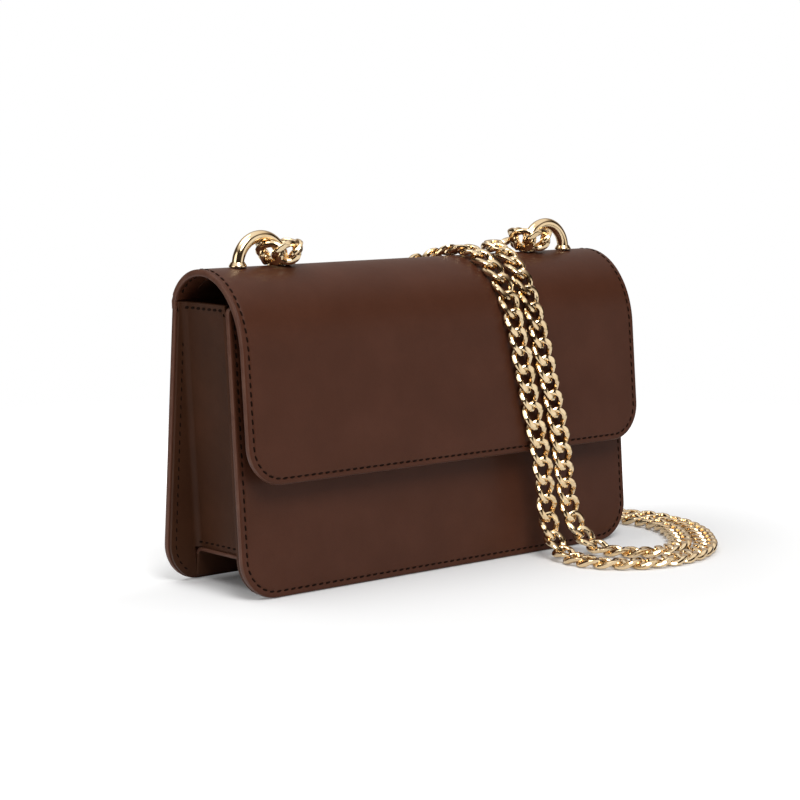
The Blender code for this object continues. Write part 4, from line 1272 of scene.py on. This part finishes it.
def rounded(profile: Sequence[tuple[float, float]], radius: float, steps: int = 4,
            most: float = 0.45) -> np.ndarray:
    """Round a profile's inner corners with short arcs drawn as quadratic curves.

    Args:
        profile: points in order; the first and last stay.
        radius: how far from a corner its curve starts.
        steps: points a curve.
        most: largest share of a side that a curve takes.

    Returns:
        The rounded profile.
    """
    line = np.array(profile, float)
    part = np.linspace(0, 1, steps)[:, None]
    result = [line[:1]]
    for before, here, after in zip(line, line[1:], line[2:]):
        start, end = (here + side * min(most, radius / max(np.linalg.norm(side), 1e-9))
                      for side in (before - here, after - here))
        result.append((1 - part) ** 2 * start + 2 * part * (1 - part) * here + part ** 2 * end)
    return np.concatenate([*result, line[-1:]])


@dataclass
class Hardware:
    """Arches, collars, screws, washers and the magnetic snap."""

    finishes: Finishes
    arch_x: float = 81.2 * MM
    arch_y: float = -3 * MM
    arch_radius: float = 11.5 * MM
    wire: float = 2.5 * MM
    wire_sides: int = 28
    leg: float = 0.4 * MM
    seat: float = 132.3 * MM
    snap_height: float = 62 * MM
    snap_inside: float = 0.7 * MM
    # Sizes of the turned fittings in millimetres
    collar_play: float = 0.12
    collar_rim: float = 3.7
    collar_rise: float = 1.8
    collar_sunk: float = 0.15
    bore_bevel: tuple[float, float] = (0.3, 0.2)
    rim_bevel: float = 0.9
    rim_side: float = 0.4
    washer_hole: float = 1.6
    washer_rim: float = 3.6
    screw_shank: float = 1.3
    screw_head: float = 2.8
    head_height: float = 1.5
    head_edge: float = 0.5
    head_crown: float = 1.8
    drive: float = 0.9
    drive_depth: float = 0.6
    gold_corner: float = 0.3
    steel_corner: float = 0.15
    snap_socket: tuple[tuple[float, float], ...] = (
        (0, 1.8), (3.9, 1.8), (3.9, 3.1), (7.5, 3.1), (7.5, 0.3), (1.6, 0.3), (1.6, -1.8), (0, -1.8))
    snap_cap: tuple[tuple[float, float], ...] = (
        (0, 1.8), (1.6, 1.8), (1.6, -0.3), (6.6, -0.3), (6.6, -2.2), (2, -2.2), (2, -3.0), (0, -3.0))

    def make(self) -> None:
        """Build both arches with their fixings, and the snap."""
        for side, word in ((-1, "left"), (1, "right")):
            self.make_arch(side, word)
            for leg, place in ((-side, "inner"), (side, "outer")):
                self.make_fixings(f"{word}_{place}", side * self.arch_x + leg * self.arch_radius)
        self.make_snap()

    def make_arch(self, side: int, word: str) -> None:
        """Sweep a circle along a half ring with short legs."""
        turn = np.linspace(0, math.pi, 49)
        half_ring = np.stack([np.cos(turn), np.sin(turn)], axis=1)
        path = np.concatenate([[[self.arch_radius, 0.0]], self.arch_radius * half_ring + [0, self.leg],
                               [[-self.arch_radius, 0.0]]])
        outward = np.concatenate([half_ring[:1], half_ring, half_ring[-1:]])
        around = np.arange(self.wire_sides) * 2 * math.pi / self.wire_sides
        centre = np.array([side * self.arch_x, self.arch_y + SHIFT, self.seat])
        flat = path[:, None] + self.wire * np.cos(around)[None, :, None] * outward[:, None]
        points = np.stack([flat[..., 0], np.broadcast_to(self.wire * np.sin(around), flat.shape[:2]),
                           flat[..., 1]], axis=-1) + centre
        feet = centre + np.array([[self.arch_radius, 0, 0], [-self.arch_radius, 0, 0]])
        size = len(path) * self.wire_sides
        shape = Surface(np.concatenate([points.reshape(-1, 3), feet]),
                        grid_faces(len(path), self.wire_sides, close_columns=True),
                        np.concatenate([fan(0, self.wire_sides, size, False),
                                        fan(size - self.wire_sides, self.wire_sides, size + 1, True)]))
        Piece(f"arch_{word}_gold", shape.outwards(), [self.finishes.gold], Body.FLAP, Slot.GOLD,
              [f"arch_{word}"]).make()

    def turn_fitting(self, node: str, profile: Sequence[tuple[float, float]], corner: float,
                     origin: Sequence[float], axis: Sequence[float], body: Body = Body.FLAP,
                     gilt: bool = False) -> None:
        """Turn one fitting and dress it over its solid.

        Args:
            node: the solid that it stands for.
            profile: radius and height of each corner, in millimetres.
            corner: how far its corners are rounded, in millimetres.
            origin: where height zero lies.
            axis: direction of height.
            body: what it rides on.
            gilt: gold plate instead of nickel.
        """
        shape = lathe(rounded(profile, corner) * MM, origin, axis)
        name, finish, slot = (("gold", self.finishes.gold, Slot.GOLD) if gilt
                              else ("steel", self.finishes.steel, Slot.STEEL))
        Piece(f"{node}_{name}", shape, [finish], body, slot, [node]).make()

    def make_fixings(self, where: str, across: float) -> None:
        """Turn the collar, washer and screw of one leg of an arch.

        Args:
            where: the leg's words in the nodes' names.
            across: the leg's place across the bag.
        """
        foot, up = (across, self.arch_y + SHIFT, 0.0), (0, 0, 1)
        seat, bore, rim = self.seat / MM, self.wire / MM + self.collar_play, self.collar_rim
        low, high, bevel = seat - self.collar_sunk, seat + self.collar_rise, self.bore_bevel
        self.turn_fitting(f"collar_{where}", [
            (bore, high - bevel[1]), (bore + bevel[0], high), (rim - self.rim_bevel, high),
            (rim, seat + self.rim_side), (rim, low), (bore, low), (bore, high - bevel[1])],
            self.gold_corner, foot, up, gilt=True)
        low, high = (corner[2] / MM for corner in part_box(f"washer_{where}"))
        hole, rim = self.washer_hole, self.washer_rim
        self.turn_fitting(f"washer_{where}", [
            (hole, high), (rim, high), (rim, low), (hole, low), (hole, high)], self.steel_corner, foot, up)
        low, high = (corner[2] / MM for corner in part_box(f"screw_{where}"))
        shank, head, under, drive = self.screw_shank, self.screw_head, low + self.head_height, self.drive
        self.turn_fitting(f"screw_{where}", [
            (0, high), (shank, high), (shank, under), (head, under), (head, low + self.head_edge),
            (self.head_crown, low), (drive, low), (drive, low + self.drive_depth),
            (0, low + self.drive_depth)], self.steel_corner, foot, up)

    def make_snap(self) -> None:
        """Turn the snap's socket on the front panel and its cap on the flap."""
        profile = FORM.flap_profile(-self.snap_inside)
        cap_depth = float(np.interp(-self.snap_height, -profile[:, 1], profile[:, 0]))
        socket_depth = float(FORM.depth_at(Face.FRONT, self.snap_height))
        for node, shape, corner, depth, lean, body in (
                ("snap_socket", self.snap_socket, 0.5, socket_depth, FORM.lean(Face.FRONT), Body.BAG),
                ("snap_cap", self.snap_cap, 0.4, cap_depth, FORM.flap_lean, Body.FLAP)):
            out = (0, -math.cos(lean), math.sin(lean))
            self.turn_fitting(node, shape, corner, (0, depth, self.snap_height), out, body)


# Curb chain strap

# How high the middle of a link lies that rests flat on the floor, in millimetres
FLOOR_LEVEL = 2.4


def on_floor(*places: tuple[float, float]) -> tuple[tuple[float, float, float, float], ...]:
    """Rows of a route that lies flat on the floor, in millimetres."""
    return tuple((x, y, FLOOR_LEVEL, 0.0) for x, y in places)


# Rows of x, y, z in millimetres before the bag is centred, and the tilt of the
# links' flat side in degrees: facing up 0, the front 90, the back -90
LEFT_RUN = (
    (-63.0, 8.3, 133.3, -22), (-58.6, 12.9, 130.4, -35), (-52.6, 16.6, 127.3, -49), (-44.0, 18.4, 125.2, -56),
    (-30.0, 18.5, 125.1, -56), (-14.0, 18.5, 125.1, -56), (2.0, 18.5, 125.1, -56), (13.0, 18.3, 125.4, -56),
    (20.0, 15.8, 128.2, -45), (26.2, 11.8, 131.2, -31), (29.8, 6.5, 133.5, -16), (31.2, 0.5, 134.7, -3),
    (31.2, -5.6, 134.5, 10), (31.1, -11.5, 133.0, 22), (31.5, -17.0, 129.9, 35), (32.5, -22.2, 125.5, 47),
    (33.0, -26.7, 119.5, 59), (33.2, -30.1, 112.6, 69), (33.6, -31.6, 107.8, 75))
LEFT_DRAPE = (
    (33.6, -31.6, 107.8, 75), (34.6, -32.9, 101.0, 81), (36.4, -33.9, 92.0, 85), (39.0, -34.9, 78.0, 85),
    (42.0, -36.1, 63.0, 85), (45.0, -37.3, 48.0, 85), (46.5, -38.0, 38.0, 88), (47.4, -38.4, 29.0, 88),
    (48.3, -38.8, 20.0, 88), (48.8, -39.7, 14.0, 72), (48.7, -42.7, 8.3, 52), (48.0, -47.4, 4.4, 28))
LEFT_FALL = ((48.0, -47.4, 4.4, 28), (46.7, -53.2, 2.7, 8)) + on_floor(
    (45.8, -60.0), (46.6, -69.2), (52.1, -77.2), (60.2, -83.0), (70.0, -86.2), (81.2, -86.6), (92.2, -85.3),
    (103.2, -80.8), (114.1, -73.5), (123.5, -63.6), (132.2, -53.6), (139.5, -42.5),
    (144.6, -30.5), (147.0, -18.0), (146.3, -5.0))
RIGHT_RUN = (
    (60.4, 1.4, 136.7, 0), (56.9, 2.9, 136.3, 0), (53.2, 2.7, 135.8, -3), (50.4, 0.4, 135.3, 0),
    (48.9, -3.2, 135.0, 6), (48.0, -7.4, 134.4, 14), (47.2, -12.0, 132.7, 24), (46.4, -16.8, 129.9, 35),
    (45.8, -21.6, 126.0, 46), (45.4, -25.6, 121.2, 57), (45.6, -28.1, 117.0, 63))
RIGHT_DRAPE = (
    (45.6, -28.1, 117.0, 63), (46.1, -30.5, 111.0, 71), (47.1, -32.5, 104.0, 79), (48.9, -33.7, 93.5, 85),
    (52.4, -34.9, 78.5, 85), (55.6, -36.1, 63.5, 85), (57.8, -37.3, 48.5, 85), (59.0, -38.0, 38.0, 88),
    (60.3, -38.4, 29.0, 88), (62.2, -38.8, 20.5, 88), (64.1, -40.0, 14.2, 72), (65.9, -43.1, 8.4, 52),
    (67.6, -48.0, 4.4, 28))
RIGHT_FALL = ((67.6, -48.0, 4.4, 28), (69.7, -53.5, 2.7, 8)) + on_floor(
    (72.6, -59.2), (76.4, -64.8), (82.2, -69.4), (89.6, -71.3), (98.0, -69.3), (107.1, -64.3), (115.6, -55.9),
    (123.4, -46.5), (129.6, -37.1), (133.8, -27.2), (135.7, -17.0), (134.9, -6.0))
FOLD = on_floor(
    (146.3, -5.0), (142.5, 7.2), (138.0, 18.6), (133.0, 30.0), (127.6, 41.5), (121.0, 53.0), (112.0, 63.5),
    (100.5, 69.5), (88.5, 69.0), (80.0, 62.0), (77.5, 51.5), (82.5, 42.0), (92.5, 37.4), (103.0, 38.4),
    (113.0, 35.5), (120.6, 27.5), (126.0, 17.0), (131.0, 5.5), (134.9, -6.0))


def smooth_route(rows: Sequence[Sequence[float]], steps: int = 24) -> np.ndarray:
    """Draw a Catmull-Rom curve through a route's rows.

    Args:
        rows: x, y, z in millimetres and tilt in degrees.
        steps: points from one row to the next.

    Returns:
        Dense rows in metres, centred as the bag is, with the tilt in radians.
    """
    data = np.array(rows, float)
    data[:, :3] *= MM
    data[:, 1] += SHIFT
    data[:, 3] = np.radians(data[:, 3])
    ends = np.concatenate([data[:1], data, data[-1:]])
    part = (np.arange(steps) / steps)[None, :, None]
    a, b, c, d = (ends[shift:len(ends) - 3 + shift, None] for shift in range(4))
    curve = (2 * b + (c - a) * part + (2 * a - 5 * b + 4 * c - d) * part ** 2
             + (3 * b - a - 3 * c + d) * part ** 3) / 2
    return np.concatenate([curve.reshape(-1, 4), data[-1:]])


def equal_steps(dense: np.ndarray, pitch: float) -> np.ndarray:
    """Cut a dense curve into the whole number of equal steps nearest to the pitch."""
    run = run_of(dense[:, :3])
    return sampled(dense, run, np.linspace(0, run[-1], max(1, round(run[-1] / pitch)) + 1))


@dataclass(frozen=True)
class CurbLink:
    """One curb link: round wire bent to a twisted oval, its faces filed and slightly domed."""

    length: float = 13.2 * MM
    width: float = 10.7 * MM
    wire: float = 1.4 * MM
    twist: float = 1.45 * MM
    filed: float = 2.0 * MM
    knee: float = 1.3 * MM
    points: int = 28
    sides: int = 12

    def bent(self) -> Surface:
        """Bend and file a link about its centre, as (along, across, up).

        The wire's middle is (a cos t, b sin t, -c sin 2t); round it goes a circle. Above the knee k
        its height h is filed and polished to k + s (1 - e^((k - h) / s)), with s what is left to the face.

        Returns:
            The link's closed surface.
        """
        t = np.arange(self.points)[:, None] * 2 * math.pi / self.points
        a, b, c = self.length / 2 - self.wire, self.width / 2 - self.wire, self.twist
        middle = np.concatenate([a * np.cos(t), b * np.sin(t), -c * np.sin(2 * t)], axis=1)
        ahead = unit(np.concatenate([-a * np.sin(t), b * np.cos(t), -2 * c * np.cos(2 * t)], axis=1))
        out = np.concatenate([b * np.cos(t), a * np.sin(t), 0 * t], axis=1)
        out = unit(out - ahead * np.einsum("ij,ij->i", out, ahead)[:, None])
        turn = ((np.arange(self.sides) + 0.5) * 2 * math.pi / self.sides)[None, :, None]
        points = middle[:, None] + self.wire * (np.cos(turn) * out[:, None]
                                                + np.sin(turn) * np.cross(ahead, out)[:, None])
        height, soft = np.abs(points[..., 2]), self.filed - self.knee
        over = np.maximum(height - self.knee, 0)
        filed = np.minimum(height, self.knee) + soft * (1 - np.exp(-over / soft))
        points[..., 2] = np.sign(points[..., 2]) * filed
        faces = grid_faces(self.points, self.sides, close_rows=True, close_columns=True)
        return Surface(points.reshape(-1, 3), faces)

    def chain(self, starts: np.ndarray, ends: np.ndarray, ups: np.ndarray, rolls: np.ndarray) -> Surface:
        """Put a link between each start and end.

        Args:
            starts: where each link meets the one before.
            ends: where it meets the next.
            ups: the direction that its flat side faces.
            rolls: a small turn of each about its own length.

        Returns:
            All the links in one surface.
        """
        along = unit(ends - starts)
        across = unit(np.cross(ups, along))
        up = np.cross(along, across)
        cos, sin = np.cos(rolls)[:, None], np.sin(rolls)[:, None]
        axes = (along, across * cos + up * sin, up * cos - across * sin)
        return self.bent().repeated((starts + ends) / 2, axes)


@dataclass
class ChainStrap:
    """The strap: two falls over the flap, a loop on the floor and a ring round each arch."""

    finishes: Finishes
    link: CurbLink
    pitch: float = 8.1 * MM
    slack: float = 0.07
    crease: float = math.radians(24)
    ring_links: int = 6
    ring_pitch: float = 7.6 * MM
    ring_x: float = 71.45 * MM
    ring_y: float = -3 * MM
    ring_height: float = 137.5 * MM
    ring_rise: float = 0.2 * MM
    ring_lean: float = math.radians(157)
    ring_turn: float = math.radians(49)

    def make(self) -> None:
        for word, side, routes, seed in (("left", -1, (LEFT_RUN, LEFT_DRAPE), 3),
                                         ("right", 1, (RIGHT_RUN, RIGHT_DRAPE), 5)):
            ring = self.ring(side, word)
            piece, line = self.strand(f"strap_{word}", routes, Body.FLAP,
                                      [f"chain_{word}_run", f"chain_{word}_drape"], seed)
        piece, line = self.strand("strap_floor", (LEFT_FALL, FOLD, RIGHT_FALL[::-1]), Body.BAG,
                                  ["chain_left_fall", "chain_fold", "chain_right_fall"], 7)

    def strand(self, name: str, routes: Sequence[Sequence[Sequence[float]]], body: Body, nodes: Sequence[str],
               seed: int) -> tuple[bpy.types.Object, np.ndarray]:
        """Lay links along joined routes.

        Args:
            name: the piece's name.
            routes: routes end to end; each is cut into its own whole number of links.
            body: what it rides on.
            nodes: the solids that it stands for.
            seed: start of the links' small rolls.

        Returns:
            The piece and the points of its middle line.
        """
        dense = [smooth_route(route) for route in routes]
        cuts = [equal_steps(part, self.pitch) for part in dense]
        starts, ends = np.concatenate([cut[:-1] for cut in cuts]), np.concatenate([cut[1:] for cut in cuts])
        tilt = (starts[:, 3] + ends[:, 3]) / 2
        ups = np.stack([0 * tilt, -np.sin(tilt), np.cos(tilt)], axis=1)
        rolls = np.random.default_rng(seed).uniform(-self.slack, self.slack, len(starts))
        links = self.link.chain(starts[:, :3], ends[:, :3], ups, rolls)
        piece = Piece(name, links, [self.finishes.gold], body, Slot.GOLD, nodes, self.crease).make()
        return piece, np.concatenate([dense[0]] + [part[1:] for part in dense[1:]])[:, :3]

    def ring(self, side: int, word: str) -> bpy.types.Object:
        """Close a ring of links round an arch's inner leg, low inside the arch."""
        radius = self.ring_pitch / (2 * math.sin(math.pi / self.ring_links))
        leg = np.array([side * self.ring_x, self.ring_y + SHIFT, self.ring_height])
        turn = np.arange(self.ring_links + 1) * 2 * math.pi / self.ring_links + self.ring_turn
        joints = leg + np.stack([side * radius * np.cos(turn), side * radius * np.sin(turn),
                                 -self.ring_rise * np.cos(turn)], axis=1)
        outward = unit((joints[1:] + joints[:-1]) / 2 - leg)
        ups = outward * math.cos(self.ring_lean) + np.array([0, 0, math.sin(self.ring_lean)])
        links = self.link.chain(joints[:-1], joints[1:], ups, np.zeros(self.ring_links))
        return Piece(f"strap_ring_{word}", links, [self.finishes.gold], Body.FLAP, Slot.GOLD,
                     [f"chain_{word}_ring"], self.crease).make()


# Photograph's view, floor and light


def stand(made: bpy.types.Object, place: Sequence[float], *axes: np.ndarray) -> None:
    """Put an object at a place, turned so that its X, Y and Z lie along three axes."""
    bpy.context.scene.collection.objects.link(made)
    made.matrix_world = Matrix([*np.stack([*axes, place], axis=1).tolist(), [0, 0, 0, 1]])


@dataclass(frozen=True)
class Softbox:
    """A round area lamp that looks at a point over the floor."""

    name: str
    place: tuple[float, float, float]
    target_height: float
    size: float
    power: float

    def hang(self) -> None:
        """Put the lamp in its place."""
        data = bpy.data.lights.new(self.name, "AREA")
        data.shape = "DISK"
        data.size = self.size
        data.energy = self.power
        toward = unit(np.array([0, 0, self.target_height]) - self.place)
        side = unit(np.cross(toward, [0, 0, 1.0]))
        stand(bpy.data.objects.new(self.name, data), self.place, side, np.cross(side, toward), -toward)


@dataclass(frozen=True)
class Panel:
    """A bright part of the surround: its direction, the cosines at its edge and inside, and its level."""

    toward: tuple[float, float, float]
    edge: float
    inside: float
    level: float


@dataclass
class Studio:
    """Camera, floor, world and lamps."""

    place: tuple[float, float, float] = (-0.63407, -0.72614, 0.19111)
    yaw: float = 0.71509
    pitch: float = -0.12492
    roll: float = -0.0013
    lens: float = 100.47
    film: float = 36
    nearest: float = 0.01
    floor_reach: float = 0.62
    floor_fade: float = 0.28
    floor_sides: int = 96
    near_glow: float = 0.11
    far_glow: float = 0.4
    back_glow: float = 0.3
    around_range: tuple[float, float] = (0.12, 0.3)
    behind_range: tuple[float, float] = (0.01, 0.08)
    under_depth: tuple[float, float] = (0.016, 0.027)
    under_width: tuple[float, float] = (0.096, 0.110)
    surround: float = 0.33
    dim: float = 0.05
    wall: str = "#C9AE94"
    panels: tuple[Panel, ...] = (
        Panel((0.0, 0.0, 1.0), 0.52, 0.8, 1.05),
        Panel((0.63, 0.75, 0.2), 0.6, 0.9, 0.6),
        Panel((0.64, -0.76, 0.1), 0.88, 0.985, 1.05),
        Panel((-0.93, 0.3, 0.2), 0.84, 0.97, 0.4))
    softboxes: tuple[Softbox, ...] = (
        Softbox("key_softbox", (-0.45, -1.1, 1.3), 0.05, 1.0, 20.5),
        Softbox("top_softbox", (-0.35, 0.25, 1.3), 0.1, 0.9, 5.6),
        Softbox("side_softbox", (-1.3, 0.1, 0.45), 0.05, 0.9, 3.5))

    def make(self) -> None:
        """Set up the view, floor, surround and lamps."""
        self.make_camera()
        self.make_floor()
        self.make_world()
        for softbox in self.softboxes:
            softbox.hang()
        bpy.context.scene.view_settings.view_transform = "Standard"

    def make_camera(self) -> None:
        """Set the camera where the photograph was taken from."""
        data = bpy.data.cameras.new("photograph_view")
        data.lens = self.lens
        data.sensor_width = self.film
        data.clip_start = self.nearest
        camera = bpy.data.objects.new("photograph_view", data)
        level = math.cos(self.pitch)
        ahead = np.array([math.sin(self.yaw) * level, math.cos(self.yaw) * level, math.sin(self.pitch)])
        right = np.array([math.cos(self.yaw), -math.sin(self.yaw), 0.0])
        up = np.cross(right, ahead)
        cos, sin = math.cos(self.roll), math.sin(self.roll)
        place = np.array(self.place) + [0, SHIFT, 0]
        stand(camera, place, right * cos + up * sin, up * cos - right * sin, -ahead)
        bpy.context.scene.camera = camera

    def make_floor(self) -> None:
        """Lay a round pale floor that keeps the object's shadow and fades into the white surround."""
        turn = np.arange(self.floor_sides) * 2 * math.pi / self.floor_sides
        rim = np.stack([self.floor_reach * np.cos(turn), self.floor_reach * np.sin(turn), 0 * turn], axis=1)
        mesh = bpy.data.meshes.new("studio_floor")
        mesh.from_pydata(rim.tolist(), [], [tuple(range(len(rim)))])
        mesh.materials.append(self.sweep())
        floor = bpy.data.objects.new("studio_floor", mesh)
        bpy.context.scene.collection.objects.link(floor)

    def sweep(self) -> bpy.types.Material:
        """Finish the floor: matt, and for the camera whitened away from the object.

        Returns:
            The material, clear towards the floor's rim.
        """
        shader = Shader("matt_white_sweep")
        shader.fix(Base_Color=(0.80, 0.80, 0.80, 1), Roughness=0.9, Specular_IOR_Level=0.1,
                   Emission_Color=(1, 1, 1, 1))
        seen = shader.add("ShaderNodeLightPath").outputs["Is Camera Ray"]
        away = shader.add("ShaderNodeVectorMath", {0: shader.place}, operation="LENGTH").outputs["Value"]
        # The camera sees the sweep whiten away from the object and behind it, as in the photograph
        around = shader.add("ShaderNodeMapRange", {"Value": away},
                            {"From Min": self.around_range[0], "From Max": self.around_range[1],
                             "To Min": self.near_glow, "To Max": self.far_glow},
                            interpolation_type="SMOOTHSTEP")
        depth = shader.add("ShaderNodeSeparateXYZ", {0: shader.place}).outputs["Y"]
        behind = shader.add("ShaderNodeMapRange", {"Value": depth},
                            {"From Min": self.behind_range[0], "From Max": self.behind_range[1],
                             "To Max": self.back_glow}, interpolation_type="SMOOTHSTEP")
        whiten = shader.add("ShaderNodeMath", {0: around, 1: behind}, operation="ADD")
        # The floor under the bag, between its feet, keeps its full darkness
        middle = shader.add("ShaderNodeVectorMath", {0: shader.place}, {1: (0.0, -SHIFT, 0.0)},
                            operation="ADD")
        apart = shader.add("ShaderNodeSeparateXYZ",
                           {0: shader.add("ShaderNodeVectorMath", {0: middle}, operation="ABSOLUTE")})
        deep, wide = (
            shader.add("ShaderNodeMapRange", {"Value": apart.outputs[axis]},
                       {"From Min": low, "From Max": high}, interpolation_type="SMOOTHSTEP")
            for axis, (low, high) in (("Y", self.under_depth), ("X", self.under_width)))
        outside = shader.add("ShaderNodeMath", {0: deep, 1: wide}, operation="MAXIMUM")
        open_floor = shader.add("ShaderNodeMath", {0: whiten, 1: outside}, operation="MULTIPLY")
        glow = shader.add("ShaderNodeMath", {0: seen, 1: open_floor}, operation="MULTIPLY")
        shader.feed("Emission Strength", glow)
        fade = shader.add("ShaderNodeMapRange", {"Value": away},
                          {"From Min": self.floor_fade, "From Max": self.floor_reach},
                          interpolation_type="SMOOTHERSTEP")
        clear = shader.add("ShaderNodeBsdfTransparent")
        mixed = shader.add("ShaderNodeMixShader", {0: fade, 1: shader.surface, 2: clear})
        shader.link(mixed, shader.tree.nodes["Material Output"].inputs["Surface"])
        return shader.material

    def make_world(self) -> None:
        """Surround the scene with even light, white to the camera.

        Metal sees a bright ceiling, a bright reflector to the right, the softer backdrop and a weak
        reflector to the left, between dim warm walls.
        """
        world = bpy.data.worlds.new("white_studio")
        bpy.context.scene.world = world
        world.use_nodes = True
        nodes = Nodes(world.node_tree)
        ray = nodes.add("ShaderNodeLightPath").outputs
        toward = nodes.add("ShaderNodeTexCoord").outputs["Generated"]
        brightest = None
        for panel in self.panels:
            facing = nodes.add("ShaderNodeVectorMath", {0: toward}, {1: panel.toward},
                               operation="DOT_PRODUCT")
            level = nodes.add("ShaderNodeMapRange", {"Value": facing.outputs["Value"]},
                              {"From Min": panel.edge, "From Max": panel.inside, "To Min": self.dim,
                               "To Max": panel.level}, interpolation_type="SMOOTHSTEP")
            brightest = level if brightest is None else nodes.add("ShaderNodeMath", {0: brightest, 1: level},
                                                                  operation="MAXIMUM")
        mirrored = nodes.add("ShaderNodeMix", {0: ray["Is Glossy Ray"], 3: brightest}, {2: self.surround})
        white = nodes.add("ShaderNodeMath", {0: ray["Is Camera Ray"], 1: ray["Is Transmission Ray"]},
                          operation="MAXIMUM")
        strength = nodes.add("ShaderNodeMath", {0: white, 1: mirrored}, operation="MAXIMUM")
        # Dim walls are warm, and only reflections see that
        warm = nodes.add("ShaderNodeMix", {0: brightest}, {6: linear(self.wall), 7: (1, 1, 1, 1)},
                         data_type="RGBA")
        tint = nodes.add("ShaderNodeMix", {0: ray["Is Glossy Ray"], 7: warm.outputs[2]}, {6: (1, 1, 1, 1)},
                         data_type="RGBA")
        back = nodes.tree.nodes["Background"]
        nodes.link(strength, back.inputs["Strength"])
        nodes.link(tint.outputs[2], back.inputs["Color"])


def main() -> None:
    """Build the studio, the strap, the leather and the metal."""
    logging.basicConfig(level=logging.INFO, format="%(message)s")
    Studio().make()
    finishes = Finishes()
    ChainStrap(finishes, CurbLink()).make()
    LeatherBody(finishes).make()
    Flap(finishes).make()
    Hardware(finishes).make()


if __name__ == "__main__":
    main()
